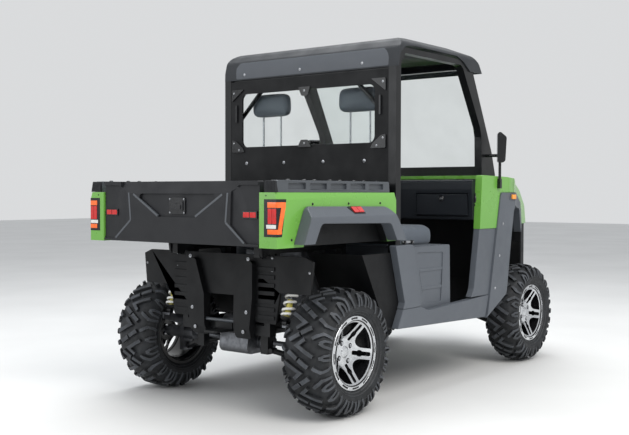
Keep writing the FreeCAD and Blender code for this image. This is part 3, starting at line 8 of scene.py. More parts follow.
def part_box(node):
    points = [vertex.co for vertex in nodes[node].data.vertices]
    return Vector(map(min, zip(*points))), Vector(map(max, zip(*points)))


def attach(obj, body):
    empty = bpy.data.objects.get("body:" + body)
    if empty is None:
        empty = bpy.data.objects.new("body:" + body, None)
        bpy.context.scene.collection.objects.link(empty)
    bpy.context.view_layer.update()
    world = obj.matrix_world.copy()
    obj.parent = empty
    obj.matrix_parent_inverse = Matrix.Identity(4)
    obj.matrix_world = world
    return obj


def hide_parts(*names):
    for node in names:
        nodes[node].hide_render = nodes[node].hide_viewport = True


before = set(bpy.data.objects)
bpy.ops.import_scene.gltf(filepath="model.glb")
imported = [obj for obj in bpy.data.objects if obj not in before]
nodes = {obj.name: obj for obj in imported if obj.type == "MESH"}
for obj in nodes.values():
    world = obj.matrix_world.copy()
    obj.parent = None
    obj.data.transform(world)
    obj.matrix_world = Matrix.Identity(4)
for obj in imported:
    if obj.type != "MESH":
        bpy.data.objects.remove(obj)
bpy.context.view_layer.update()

# Shapes are given in millimetres in the model's frame: +X forward, +Y the driver's side, +Z up.
MM = 0.001
SIDES = (("left", 1), ("right", -1))

# Places that the shapes share with the solids
TYRE_R = 330
TYRE_Y = 616
REAR_AXLE_X = -1025
FRONT_AXLE_X = 1085
RIM_R = 178
BEAD_INSET = 32


# Colours and node helpers


def srgb(red, green, blue):
    """A colour given as 0 to 255 values, for a shader."""
    parts = []
    for value in (red, green, blue):
        share = value / 255
        parts.append(share / 12.92 if share <= 0.04045 else ((share + 0.055) / 1.055) ** 2.4)
    return (*parts, 1.0)


def tinted(colour, factor):
    return (*(min(1.0, c * factor) for c in colour[:3]), 1.0)


class Nodes:
    """A node tree, with a short call to add and join nodes."""

    def __init__(self, tree):
        self.tree = tree

    def give(self, value, socket):
        """Sets a socket's value, or joins another socket to it."""
        if isinstance(value, bpy.types.NodeSocket):
            self.tree.links.new(value, socket)
        else:
            socket.default_value = value

    def add(self, kind, inputs=None, **settings):
        made = self.tree.nodes.new(kind)
        for key, value in settings.items():
            setattr(made, key, value)
        for key, value in (inputs or {}).items():
            self.give(value, made.inputs[key])
        return made


class Finish(Nodes):
    """A material's node tree, with the patterns that its colours and gloss are made of."""

    def __init__(self, name):
        self.material = bpy.data.materials.new(name)
        self.material.use_nodes = True
        super().__init__(self.material.node_tree)
        self.shader = self.tree.nodes["Principled BSDF"]
        self.place = self.add("ShaderNodeTexCoord").outputs["Object"]

    def set(self, **values):
        """Gives the shader's own sockets their values; underscores stand for spaces."""
        for key, value in values.items():
            self.give(value, self.shader.inputs[key.replace("_", " ")])

    def noise(self, scale, detail=4.0, stretch=None):
        place = self.place
        if stretch:
            place = self.add("ShaderNodeMapping", {"Vector": place, "Scale": stretch}).outputs["Vector"]
        made = self.add("ShaderNodeTexNoise", {"Vector": place, "Scale": scale, "Detail": detail})
        return made.outputs["Fac"]

    def spread(self, value, low, high, new_low, new_high):
        """Maps a value's range onto another, held at its ends."""
        made = self.add("ShaderNodeMapRange", {"Value": value, "From Min": low, "From Max": high,
                                               "To Min": new_low, "To Max": new_high})
        return made.outputs["Result"]

    def cloudy(self, scale, detail, low=0.0, high=1.0):
        """Soft patches between two values."""
        return self.spread(self.noise(scale, detail), 0.3, 0.7, low, high)

    def mix(self, share, first, second):
        return self.add("ShaderNodeMix", {0: share, 6: first, 7: second}, data_type="RGBA").outputs[2]

    def times(self, first, second):
        return self.add("ShaderNodeMath", {0: first, 1: second}, operation="MULTIPLY").outputs[0]

    def bump(self, height, distance, strength=1.0):
        return self.add("ShaderNodeBump", {"Height": height, "Distance": distance,
                                           "Strength": strength}).outputs["Normal"]

    def edge(self, radius):
        """A share that rises at outward edges, from how far a rounded normal leaves the true one."""
        rounded_off = self.add("ShaderNodeBevel", {"Radius": radius}, samples=4).outputs["Normal"]
        true = self.add("ShaderNodeNewGeometry").outputs["Normal"]
        made = self.add("ShaderNodeVectorMath", {0: rounded_off, 1: true}, operation="DOT_PRODUCT")
        return self.spread(made.outputs["Value"], 0.995, 0.90, 0.0, 1.0)


def moulded(name, colour, rough, spread, grain, depth, wear, wear_tint, **sockets):
    """A moulded or painted surface: cloudy colour, uneven gloss, fine grain and paler rubbed edges."""
    t = Finish(name)
    base = t.mix(t.cloudy(2.2, 3.0), tinted(colour, 1 - spread), tinted(colour, 1 + spread))
    fine = t.spread(t.noise(160.0, 2.0), 0.35, 0.75, 0.0, 0.35)
    base = t.mix(fine, base, tinted(colour, 1 - 1.6 * spread))
    rubbed = t.times(t.edge(0.004), t.spread(t.noise(38.0, 5.0), 0.45, 0.62, 0.0, wear))
    base = t.mix(rubbed, base, tinted(colour, wear_tint))
    t.set(Base_Color=base, Roughness=t.cloudy(9.0, 5.0, rough * 0.82, min(1.0, rough * 1.18)),
          Normal=t.bump(t.noise(grain, 3.0), depth), **sockets)
    return t.material


def glass_like(name, colour, rough, ior):
    t = Finish(name)
    t.set(Base_Color=t.mix(t.cloudy(5.0, 2.0), tinted(colour, 0.94), colour), IOR=ior,
          Roughness=t.cloudy(14.0, 4.0, rough, rough * 2.2), Transmission_Weight=1.0)
    return t.material


def rubber(name, colour):
    """Tyre rubber with dry dusty patches and fine pits."""
    t = Finish(name)
    dusty = t.spread(t.noise(13.0, 6.0), 0.42, 0.68, 0.0, 0.75)
    base = t.mix(dusty, tinted(colour, 0.75), tinted(colour, 1.7))
    base = t.mix(t.times(t.edge(0.003), 0.55), base, srgb(104, 106, 108))
    t.set(Base_Color=base, Roughness=t.cloudy(30.0, 4.0, 0.52, 0.78),
          Normal=t.bump(t.noise(420.0, 4.0), 0.0004, 0.6), Specular_IOR_Level=0.42)
    return t.material


def machined(name, colour, rough, turned):
    """Bright machined metal with fine tool lines and a little tarnish."""
    t = Finish(name)
    lines = t.noise(900.0, 2.0, (0.1, 1.0, 0.1) if turned else (0.15, 1.0, 1.0))
    cloud = t.spread(t.noise(24.0, 4.0), 0.35, 0.7, 0.0, 1.0)
    t.set(Base_Color=t.mix(cloud, colour, tinted(colour, 0.82)), Metallic=1.0,
          Roughness=t.cloudy(60.0, 4.0, rough * 0.7, rough * 1.5), Normal=t.bump(lines, 0.00006, 0.5))
    return t.material


def vinyl(name, colour):
    """Seat vinyl: leather-like cells, soft sheen, and painted shade that makes the creases slightly darker.
    """
    t = Finish(name)
    cells = t.add("ShaderNodeTexVoronoi", {"Vector": t.place, "Scale": 420.0}, feature="DISTANCE_TO_EDGE")
    crease = t.spread(cells.outputs["Distance"], 0.0, 0.12, 0.0, 1.0)
    base = t.mix(t.cloudy(6.0, 4.0), tinted(colour, 0.9), tinted(colour, 1.1))
    # painted shade: the creases between the cells are drawn darker
    base = t.mix(t.spread(crease, 0.0, 1.0, 0.35, 0.0), base, tinted(colour, 0.6))
    t.set(Base_Color=base, Roughness=t.cloudy(11.0, 4.0, 0.42, 0.6), Normal=t.bump(crease, 0.0003, 0.5),
          Sheen_Weight=0.15)
    return t.material


def lens(name, colour, painted_glow):
    """A coloured lamp lens with faint vertical flutes under a clear skin, and a painted glow of its own
    colour.
    """
    t = Finish(name)
    flutes = t.noise(220.0, 1.0, (1.0, 1.0, 0.02))
    base = t.mix(t.cloudy(40.0, 3.0), colour, tinted(colour, 0.8))
    # painted glow: the lens gives off a little light of its own colour
    t.set(Base_Color=base, Roughness=t.cloudy(20.0, 3.0, 0.08, 0.2), Coat_Weight=0.6,
          Normal=t.bump(flutes, 0.0006, 0.4), Emission_Color=base, Emission_Strength=painted_glow)
    return t.material


# Moulded and painted finishes. Columns: name, colour, roughness, spread of the colour, scale of the grain,
# its depth, wear at the edges, its tint, specular level
PAINTS = [
    ("grey_plastic", (84, 89, 96), 0.5, 0.06, 1300, 0.0002, 0.25, 1.6, 0.5),
    ("black_plastic", (27, 28, 31), 0.5, 0.1, 1300, 0.0002, 0.4, 3.0, 0.3),
    ("panel_black", (15, 16, 18), 0.55, 0.12, 1100, 0.0002, 0.3, 3.0, 0.25),
    ("dash_black", (30, 33, 38), 0.42, 0.08, 1300, 0.0002, 0.3, 2.0, 0.35),
    ("roof_plastic", (40, 43, 47), 0.5, 0.08, 1300, 0.0002, 0.3, 2.0, 0.35),
    ("roof_trim", (74, 78, 84), 0.5, 0.06, 1300, 0.0002, 0.25, 1.6, 0.5),
    ("rail_grey", (72, 76, 81), 0.36, 0.08, 1100, 0.0001, 0.3, 1.6, 0.5),
    ("dark_gloss", (22, 23, 25), 0.26, 0.08, 1100, 0.00008, 0.3, 2.4, 0.4),
    ("frame_paint", (17, 18, 20), 0.42, 0.1, 500, 0.0001, 0.35, 3.0, 0.3),
    ("cage_paint", (15, 16, 18), 0.36, 0.08, 900, 0.00012, 0.3, 2.6, 0.35),
    ("rim_black", (20, 20, 22), 0.22, 0.1, 900, 0.00006, 0.25, 2.0, 0.5),
    ("spring_white", (232, 232, 228), 0.3, 0.03, 600, 0.00006, 0.35, 0.6, 0.5),
    ("damper_yellow", (204, 192, 92), 0.32, 0.05, 600, 0.00006, 0.3, 0.6, 0.5),
    ("wheel_grip", (26, 26, 28), 0.55, 0.08, 1500, 0.0003, 0.2, 1.8, 0.5),
]
# Columns: name, colour, roughness, whether the tool lines run round
METALS = [
    ("rim_alloy", (214, 216, 219), 0.24, True),
    ("cast_alloy", (120, 122, 126), 0.45, False),
    ("bolt_steel", (176, 178, 182), 0.3, False),
    ("bronze", (196, 150, 88), 0.35, False),
    ("mirror", (150, 156, 162), 0.05, False),
    ("mirror_dark", (70, 76, 82), 0.12, False),
]
# Columns: name, colour, painted glow
LENSES = [
    ("lamp_red", (196, 24, 22), 0.15),
    ("lamp_orange", (238, 104, 30), 0.25),
    ("lamp_amber", (236, 150, 30), 0.2),
    ("lamp_white", (226, 226, 222), 0.1),
]


def make_finishes():
    """One material per slot of the record, and those that only the scene's own pieces use."""
    made = {name: moulded(name, srgb(*colour), *values[:-1], Specular_IOR_Level=values[-1])
            for name, colour, *values in PAINTS}
    made["green_plastic"] = moulded("green_plastic", srgb(106, 166, 67), 0.3, 0.04, 700, 0.00004, 0.2, 1.3,
                                    Coat_Weight=0.35, Coat_Roughness=0.12)
    for name, colour, rough, turned in METALS:
        made[name] = machined(name, srgb(*colour), rough, turned)
    for name, colour, painted_glow in LENSES:
        made[name] = lens(name, srgb(*colour), painted_glow)
    made["tyre_rubber"] = rubber("tyre_rubber", srgb(29, 31, 34))
    made["tread_worn"] = rubber("tread_worn", srgb(62, 65, 70))
    made["seat_vinyl"] = vinyl("seat_vinyl", srgb(84, 92, 102))
    made["lamp_clear"] = glass_like("lamp_clear", srgb(238, 240, 242), 0.03, 1.45)
    made["glass"] = glass_like("glass", srgb(246, 250, 249), 0.02, 1.08)
    return made


# Mesh helpers


def shape(name, points, faces, materials, smooth=True):
    """A mesh object from points in millimetres."""
    mesh = bpy.data.meshes.new(name)
    mesh.from_pydata([tuple(c * MM for c in p) for p in points], [], faces)
    mesh.validate()
    mesh.update()
    made = bpy.data.objects.new(name, mesh)
    bpy.context.scene.collection.objects.link(made)
    for material in materials:
        mesh.materials.append(material)
    mesh.polygons.foreach_set("use_smooth", [smooth] * len(mesh.polygons))
    return made


def outward(obj):
    """Makes a closed mesh's normals point out."""
    work = bmesh.new()
    work.from_mesh(obj.data)
    bmesh.ops.recalc_face_normals(work, faces=work.faces)
    work.to_mesh(obj.data)
    work.free()
    return obj


def smoothing_group():
    """Geometry nodes that shade smooth and keep the edges above a given angle sharp."""
    group = bpy.data.node_groups.new("shade_by_angle", "GeometryNodeTree")
    for way in ("INPUT", "OUTPUT"):
        group.interface.new_socket("Geometry", in_out=way, socket_type="NodeSocketGeometry")
    t = Nodes(group)
    start = t.add("NodeGroupInput").outputs[0]
    angle = t.add("GeometryNodeInputMeshEdgeAngle").outputs["Unsigned Angle"]
    above = t.add("FunctionNodeCompare", {0: angle, 1: math.radians(38)}, operation="GREATER_THAN")
    faces = t.add("GeometryNodeSetShadeSmooth", {"Geometry": start})
    edges = t.add("GeometryNodeSetShadeSmooth", {"Geometry": faces.outputs[0], "Selection": above.outputs[0],
                                                 "Shade Smooth": False}, domain="EDGE")
    t.add("NodeGroupOutput", {0: edges.outputs[0]})
    return group


SHADE_BY_ANGLE = smoothing_group()


def softened(obj, width, segments=2, weld=True):
    """Rounds an object's edges with modifiers and gives it clean shading."""
    if weld:
        join = obj.modifiers.new("join", "WELD")
        join.merge_threshold = 0.00002
        flat = obj.modifiers.new("flat", "DECIMATE")
        flat.decimate_type = "DISSOLVE"
        flat.angle_limit = math.radians(0.6)
    if width:
        round_off = obj.modifiers.new("round", "BEVEL")
        round_off.width = width * MM
        round_off.segments = segments
        round_off.limit_method = "ANGLE"
        round_off.angle_limit = math.radians(32)
        round_off.miter_outer = "MITER_ARC"
    shade = obj.modifiers.new("shade", "NODES")
    shade.node_group = SHADE_BY_ANGLE
    weights = obj.modifiers.new("weights", "WEIGHTED_NORMAL")
    weights.keep_sharp = True
    return obj


def settle(obj):
    """Applies an object's modifiers to its mesh."""
    bpy.context.view_layer.update()
    seen = obj.evaluated_get(bpy.context.evaluated_depsgraph_get())
    mesh = bpy.data.meshes.new_from_object(seen)
    obj.modifiers.clear()
    obj.data = mesh


def cut_from(obj, cutters):
    """Takes closed cutter meshes out of an object, then removes them."""
    for cutter in cutters:
        step = obj.modifiers.new("cut", "BOOLEAN")
        step.operation = "DIFFERENCE"
        step.solver = "EXACT"
        step.object = cutter
    settle(obj)
    for cutter in cutters:
        bpy.data.objects.remove(cutter)


def circle(radius, steps):
    turns = [math.tau * k / steps for k in range(steps)]
    return [(radius * math.cos(turn), radius * math.sin(turn)) for turn in turns]


# The record's slot of each material that only the scene's own pieces use
SLOT_OF = {"lamp_orange": "lamp_red", "lamp_amber": "lamp_red", "lamp_white": "lamp_clear", "mirror": "glass",
           "mirror_dark": "glass", "panel_black": "black_plastic", "bolt_steel": "cast_alloy",
           "bronze": "cast_alloy", "damper_yellow": "spring_white", "roof_trim": "black_plastic",
           "rail_grey": "dark_gloss"}


class Gather:
    """Closed shapes gathered into one mesh."""

    def __init__(self):
        self.points = []
        self.faces = []

    def rings(self, rows, closed=False):
        """A skin over rings of as many points each, with flat ends, or joined end to end."""
        size = len(rows[0])
        count = len(rows)
        faces = []
        for i in range(count if closed else count - 1):
            j = (i + 1) % count
            for k in range(size):
                n = (k + 1) % size
                faces.append((i * size + k, i * size + n, j * size + n, j * size + k))
        if not closed:
            faces.append(tuple(range(size)))
            faces.append(tuple(range((count - 1) * size, count * size)))
        first = len(self.points)
        self.points += [point for row in rows for point in row]
        self.faces += [tuple(first + i for i in face) for face in faces]

    def slab(self, place, outline, low, high):
        self.rings([[place(a, b, out) for a, b in outline] for out in (low, high)])

    def turned(self, place, a, b, profile, steps=12):
        """A profile of (radius, height) points turned about a face's normal."""
        self.rings([[place(a + x, b + y, out) for x, y in circle(r, steps)] for r, out in profile])

    def tube(self, path, radius, sides=8, closed=False):
        """A round bar along a path."""
        spots = [Vector(p) for p in path]
        last = len(spots) - 1
        rows = []
        normal = None
        for i, spot in enumerate(spots):
            if closed:
                along = (spots[(i + 1) % (last + 1)] - spots[i - 1]).normalized()
            else:
                along = (spots[min(i + 1, last)] - spots[max(i - 1, 0)]).normalized()
            if normal is None:
                normal = along.orthogonal()
            normal = (normal - along * normal.dot(along)).normalized()
            second = along.cross(normal)
            rows.append([tuple(spot + normal * a + second * b) for a, b in circle(radius, sides)])
        self.rings(rows, closed)

    def mesh(self, name, *materials, smooth=True):
        return outward(shape(name, self.points, self.faces, [finishes[one] for one in materials], smooth))

    def done(self, name, material, body, edge=0.0, replaces=()):
        made = softened(self.mesh(name, material), edge, 2, weld=False)
        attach(made, body)
        SLOT_OF.get(material, material)
        if replaces:
            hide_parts(*replaces)


# Wheels


class Wheel:
    """Points about one wheel's axle: u runs outboard from the tyre's middle, and r is a radius."""

    def __init__(self, x, sign):
        self.x = x
        self.sign = sign

    def at(self, u, r, turn):
        return (self.x + r * math.cos(turn), self.sign * (TYRE_Y + u), TYRE_R + r * math.sin(turn))

    def flat(self, u, a, b, turn):
        """A point of the wheel's plane, turned about the axle."""
        return self.at(u, math.hypot(a, b), turn + math.atan2(b, a))

    def ring(self, section, steps):
        """The rings of points that a section of (u, r) points makes about the axle."""
        return [[self.at(u, r, math.tau * i / steps) for u, r in section] for i in range(steps)]


def ring_mesh(name, wheel, section, steps, *materials):
    """A closed section of (u, r) points turned about the axle."""
    ring = Gather()
    ring.rings(wheel.ring(section, steps), closed=True)
    return ring.mesh(name, *materials)


def carcass(half):
    """The tyre's outer skin under its lugs, from the crown to the bead, as (u, r)."""
    return [(0, 312), (half - 82, 310), (half - 50, 304), (half - 27, 291), (half - 13, 273), (half - 6, 253),
            (half - 4, 238), (half - 8, 222), (half - 17, 207), (half - 25, 198), (half - 27, 194),
            (half - 31, 193), (half - BEAD_INSET, 190), (half - BEAD_INSET, RIM_R + 0.4)]


def skin_point(half, s):
    """The place and outward direction at arc length s from the crown, over the skin's outer run."""
    skin = carcass(half)
    side = 1 if s >= 0 else -1
    left = abs(s)
    for (u0, r0), (u1, r1) in zip(skin, skin[1:]):
        length = math.hypot(u1 - u0, r1 - r0)
        if left <= length or (u1, r1) == skin[-1]:
            share = left / length
            along = ((u1 - u0) / length, (r1 - r0) / length)
            return side * (u0 + (u1 - u0) * share), r0 + (r1 - r0) * share, side * -along[1], along[0]
        left -= length


# The tread's lugs, with s across the tread and v along it in millimetres, both for the wide tyre.
# Columns: width, height at its start, height at its end, the middle line's (s, v) points
PERIODS = 8
TREAD_HALF = 140
CENTRE_LUGS = [
    (25, 18, 18, [(-58, -36), (-5, -3)]),
    (25, 18, 18, [(5, 3), (58, 36)]),
    (21, 18, 17, [(86, -20), (-10, -70), (32, -104)]),
    (25, 18, 18, [(-58, -94), (-5, -127)]),
    (25, 18, 18, [(5, -133), (58, -166)]),
    (21, 18, 17, [(-86, -240), (10, -190), (-32, -156)]),
]
SHOULDER_LUGS = [
    (17, 15, 4, [(112, -14), (134, -4), (176, -1)]),
    (15, 15, 4, [(112, -14), (134, -28), (172, -34)]),
    (17, 15, 4, [(108, -94), (130, -80), (176, -74)]),
    (15, 15, 4, [(108, -94), (130, -112), (172, -116)]),
    (19, 17, 4, [(72, -112), (118, -148), (150, -146), (174, -142)]),
    (19, 17, 4, [(82, -222), (118, -196), (150, -200), (176, -214)]),
]


def lug_sections(line, width, spacing=14):
    """Left and right points along a bent stroke, with mitred corners, as ((s, v), (s, v), share)."""
    spots = [Vector(p) for p in line]
    total = sum((b - a).length for a, b in zip(spots, spots[1:]))
    rows = []
    done = 0.0
    for i, (a, b) in enumerate(zip(spots, spots[1:])):
        along = (b - a).normalized()
        steps = max(1, round((b - a).length / spacing))
        for step in range(steps + (1 if i == len(spots) - 2 else 0)):
            share = step / steps
            spot = a.lerp(b, share)
            normal = Vector((-along.y, along.x))
            reach = width / 2
            if step == 0 and i > 0:
                before = (a - spots[i - 1]).normalized()
                normal = (normal + Vector((-before.y, before.x))).normalized()
                reach /= max(0.5, normal.dot(Vector((-along.y, along.x))))
            far = (done + (b - a).length * share) / total
            rows.append((spot + normal * reach, spot - normal * reach, far))
        done += (b - a).length
    return rows


# How far a lug's foot and top reach, as a share of its width, and their height off the skin or off its top
LUG_RINGS = ((1.10, -4), (1.0, 0), (0.94, -2.2), (0.80, 0))


def add_lug(tread, tops, wheel, half, row, turn0, way):
    """One raised block of the tread, with a small chamfer round its top, whose faces are noted in tops."""
    width, high, low, line = row
    scale = half / TREAD_HALF
    rows = []
    for left, right, share in lug_sections([(s * scale, v) for s, v in line], width):
        height = high + (low - high) * max(0.0, share * 1.4 - 0.4)
        middle = (left + right) / 2
        loop = [(middle + (side - middle) * grow, drop if k < 2 else height + drop)
                for side in (left, right) for k, (grow, drop) in enumerate(LUG_RINGS)]
        rows.append([])
        for spot, level in loop[:4] + loop[:3:-1]:
            u, r, nu, nr = skin_point(half, way * spot.x)
            rows[-1].append(wheel.at(u + nu * level, r + nr * level, turn0 + way * spot.y / TYRE_R))
    tops.update(len(tread.faces) + len(rows[0]) * j + 3 for j in range(len(rows) - 1))
    tread.rings(rows)


TYRE_STEPS = 96
# Raised rings on the side walls, as (radius, height)
SIDE_RIDGES = ((246, 2.0), (216, 2.5), (203, 2.0))


def make_tyre(name, x, sign, half):
    """A tyre: the carcass as a turned ring, its lugs in a repeated table, and ridges on the side walls."""
    wheel = Wheel(x, sign)
    skin = carcass(half)
    inner = [(half - BEAD_INSET - 12, RIM_R + 0.4), (half - 24, 214), (half - 18, 250), (half - 40, 284),
             (0, 298)]
    section = [(-u, r) for u, r in reversed(skin[1:])] + skin + inner
    section += [(-u, r) for u, r in reversed(inner[:-1])]
    ring = ring_mesh(name, wheel, section, TYRE_STEPS, "tyre_rubber")
    tread, tops = Gather(), set()
    period = math.tau / PERIODS
    for i in range(PERIODS):
        start = -i * period
        for row in CENTRE_LUGS:
            add_lug(tread, tops, wheel, half, row, start, 1)
        for row in SHOULDER_LUGS:
            add_lug(tread, tops, wheel, half, row, start, 1)
            add_lug(tread, tops, wheel, half, row, start - period, -1)
    for radius, reach in SIDE_RIDGES:
        for side in (-1, 1):
            tread.rings(wheel.ring(side_wall_ridge(skin, radius, reach, side), TYRE_STEPS), closed=True)
    blocks = tread.mesh(name + "_tread", "tyre_rubber", "tread_worn", smooth=False)
    for polygon in blocks.data.polygons:
        polygon.material_index = 1 if polygon.index in tops else 0
    return ring, blocks


def side_wall_ridge(skin, radius, reach, side):
    """The three (u, r) points of a small raised ring on the side wall at a radius."""
    for (u0, r0), (u1, r1) in zip(skin, skin[1:]):
        if r0 >= radius >= r1:
            u = u0 + (u1 - u0) * (r0 - radius) / (r0 - r1)
            return [(side * (u - 2), radius + 3), (side * (u + reach), radius), (side * (u - 2), radius - 3)]


SPOKES = 5
SPOKE_TURN = math.radians(62)
SPOKE_HALF = 29
SLOT_HALF = 11
SLOT_START = 64
WINDOW_R = 158
NUTS = 4
NUT_RING = 55
NUT_TURN = math.radians(29)
NUT_POCKET_R = 14
# A wheel nut's rings, as (height over the hub face, radius)
NUT = ((-8.5, 9.5), (2, 9.5), (6, 8.2), (8, 5))
LIP_SLOTS = 12


def prism(wheel, outline, u0, u1, turn):
    """A closed cutter: an outline in the wheel's plane, turned about the axle, from u0 to u1."""
    body = Gather()
    body.rings([[wheel.flat(u, a, b, turn) for a, b in outline] for u in (u0, u1)])
    return body.mesh("cutter", "rim_black")


def window_outline():
    """A window between two spokes: straight sides, a broad round inner end and an outer arc."""
    half_gap = math.pi / SPOKES
    inner_end = 86
    round_r = (inner_end * math.sin(half_gap) - SPOKE_HALF) / (1 - math.sin(half_gap))
    middle = inner_end + round_r
    outline = []
    for i in range(13):
        angle = math.pi / 2 + half_gap + (math.pi - 2 * half_gap) * i / 12
        outline.append((middle + round_r * math.cos(angle), round_r * math.sin(angle)))
    reach = half_gap - math.asin(SPOKE_HALF / WINDOW_R)
    for i in range(11):
        angle = -reach + 2 * reach * i / 10
        outline.append((WINDOW_R * math.cos(angle), WINDOW_R * math.sin(angle)))
    return outline


def slot_outline():
    """The slot between a spoke's twin bars, with a round swelling in its middle."""
    upper = [(SLOT_START, SLOT_HALF - 4), (SLOT_START + 5, SLOT_HALF)]
    for i in range(7):
        angle = math.pi - math.radians(40) - (math.pi - math.radians(80)) * i / 6
        upper.append((101 + 17 * math.cos(angle), 17 * math.sin(angle)))
    upper += [(WINDOW_R - 8, SLOT_HALF), (WINDOW_R - 2, SLOT_HALF - 4)]
    return upper + [(a, -b) for a, b in reversed(upper)]


def lip_slot_outline():
    """A short curved slot in the rim's outer lip."""
    arc = [math.radians(-8.5 + 17 * k / 6) for k in range(7)]
    outline = [(184 * math.cos(a), 184 * math.sin(a)) for a in arc]
    return outline + [(176 * math.cos(a), 176 * math.sin(a)) for a in reversed(arc)]


def make_barrel(name, wheel, bead):
    """The rim's barrel with its beads and a slotted bright lip."""
    section = [(bead + 7.5, 171), (bead + 7.5, 189), (bead + 5, 192.6), (bead + 1, 192.6),
               (bead, RIM_R + 0.3), (bead - 24, RIM_R - 1), (bead - 40, 162), (40 - bead, 162),
               (24 - bead, RIM_R - 1), (-bead, RIM_R + 0.3), (-bead - 1, 192.6), (-bead - 5, 192.6),
               (-bead - 7.5, 189), (-bead - 7.5, 172), (-bead - 3, 168.5), (18 - bead, 168), (40 - bead, 154),
               (bead - 40, 154), (bead - 24, 164), (bead + 2, 165)]
    barrel = ring_mesh(name, wheel, section, 72, "rim_black", "rim_alloy")
    turns = [math.tau * i / LIP_SLOTS + SPOKE_TURN for i in range(LIP_SLOTS)]
    cut_from(barrel, [prism(wheel, lip_slot_outline(), bead + 4, bead + 12, turn) for turn in turns])
    paint_faces(barrel, wheel, lambda place, out: out > 0.5 and place > bead + 6)
    return softened(barrel, 0.8, 1)


def make_disc(name, wheel, bead, face):
    """The rim's dished disc with its spokes, windows, slots and nut pockets."""
    outer = bead - 2
    section = [(face, 31), (face, 68), (face + 5, 76), (outer, 160), (outer + 4, 168), (outer - 10, 168),
               (outer - 20, 158), (face - 12, 72), (face - 20, 62), (face - 20, 31)]
    disc = ring_mesh(name, wheel, section, 90, "rim_black", "rim_alloy")
    cutters = []
    for i in range(SPOKES):
        turn = SPOKE_TURN + math.tau * i / SPOKES
        cutters.append(prism(wheel, window_outline(), face - 60, bead + 30, turn + math.pi / SPOKES))
        cutters.append(prism(wheel, slot_outline(), face - 60, bead + 30, turn))
    pocket = [(NUT_RING + a, b) for a, b in circle(NUT_POCKET_R, 16)]
    for i in range(NUTS):
        cutters.append(prism(wheel, pocket, face - 9, face + 20, NUT_TURN + math.tau * i / NUTS))
    cut_from(disc, cutters)
    paint_faces(disc, wheel, lambda place, out: out > 0.45)
    return softened(disc, 1.2, 2)


def make_rim(name, x, sign, half, face):
    """A cast rim: its disc first, then the barrel, a plain cap and the nuts."""
    wheel = Wheel(x, sign)
    bead = half - BEAD_INSET + 0.4
    barrel = make_barrel(name + "_barrel", wheel, bead)
    pieces = [make_disc(name + "_disc", wheel, bead, face), barrel]
    cap = ring_mesh(name + "_cap", wheel, [(face + 6, 0.2), (face + 6, 18), (face + 4, 25), (face + 1, 30.5),
                                           (face - 14, 30.5), (face - 14, 0.2)], 40, "rim_alloy")
    pieces.append(softened(cap, 0.8, 1))
    for i in range(NUTS):
        nut = Gather()
        turn = NUT_TURN + math.tau * i / NUTS
        nut.rings([[wheel.flat(face + rise, NUT_RING + a, b, turn) for a, b in circle(radius, 6)]
                   for rise, radius in NUT])
        made = nut.mesh(f"{name}_nut_{i}", "bolt_steel", smooth=False)
        pieces.append(softened(made, 0.8, 1, weld=False))
    return pieces


def paint_faces(obj, wheel, chosen):
    """Gives the second material to the faces chosen by place along u and by the normal's outboard share."""
    for polygon in obj.data.polygons:
        place = wheel.sign * polygon.center.y / MM - TYRE_Y
        polygon.material_index = 1 if chosen(place, wheel.sign * polygon.normal.y) else 0


def make_wheels():
    # Columns: place, axle, half width of the tyre, hub face from the tyre's middle
    rows = [("rear", REAR_AXLE_X, 140, 50), ("front", FRONT_AXLE_X, 115, 44)]
    for place, x, half, face in rows:
        for side_name, sign in SIDES:
            tyre = make_tyre(f"{place}_tyre_{side_name}_rubber", x, sign, half)
            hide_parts(f"{place}_tyre_{side_name}")
            rim = make_rim(f"{place}_rim_{side_name}", x, sign, half, face)
            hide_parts(f"{place}_rim_{side_name}")
            for pieces, slot in ((tyre, "tyre_rubber"), (rim, "rim_alloy")):
                for piece in pieces:
                    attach(piece, f"wheel_{place}_{side_name}")


# Small pieces


def facing(axis, at, sign):
    """Places on a flat face across an axis, from its other two coordinates in order and a height off it."""
    def place(a, b, out=0.0):
        point = [a, b]
        point.insert(axis, at + sign * out)
        return tuple(point)
    return place


def leaning(origin, across, up):
    """Places on a tilted face, from the distances along its two edges and a height off it."""
    start, first, second = Vector(origin), Vector(across).normalized(), Vector(up).normalized()
    away = first.cross(second)
    return lambda a, b, out=0.0: tuple(start + first * a + second * b + away * out)


def rounded(corners, radius, steps=3):
    """A flat outline with each corner rounded."""
    count = len(corners)
    outline = []
    for i in range(count):
        before, spot, after = (Vector(corners[(i + k) % count]) for k in (-1, 0, 1))
        start = spot + (before - spot).normalized() * radius
        end = spot + (after - spot).normalized() * radius
        for k in range(steps + 1):
            share = k / steps
            made = start * (1 - share) ** 2 + spot * 2 * share * (1 - share) + end * share ** 2
            outline.append((made.x, made.y))
    return outline


def oblong(a0, b0, a1, b1, radius):
    return rounded([(a0, b0), (a1, b0), (a1, b1), (a0, b1)], radius)


def bolt_profile(radius):
    """A washer and a low domed head with a socket, as (radius, height) points."""
    # Columns: radius as a share of the head's, height
    rows = ((1.45, -1), (1.45, 1.2), (1.3, 1.8), (1, 1.8), (0.95, 3.4), (0.7, 4.8), (0.42, 5.2), (0.36, 3.2))
    return [(share * radius, height) for share, height in rows]


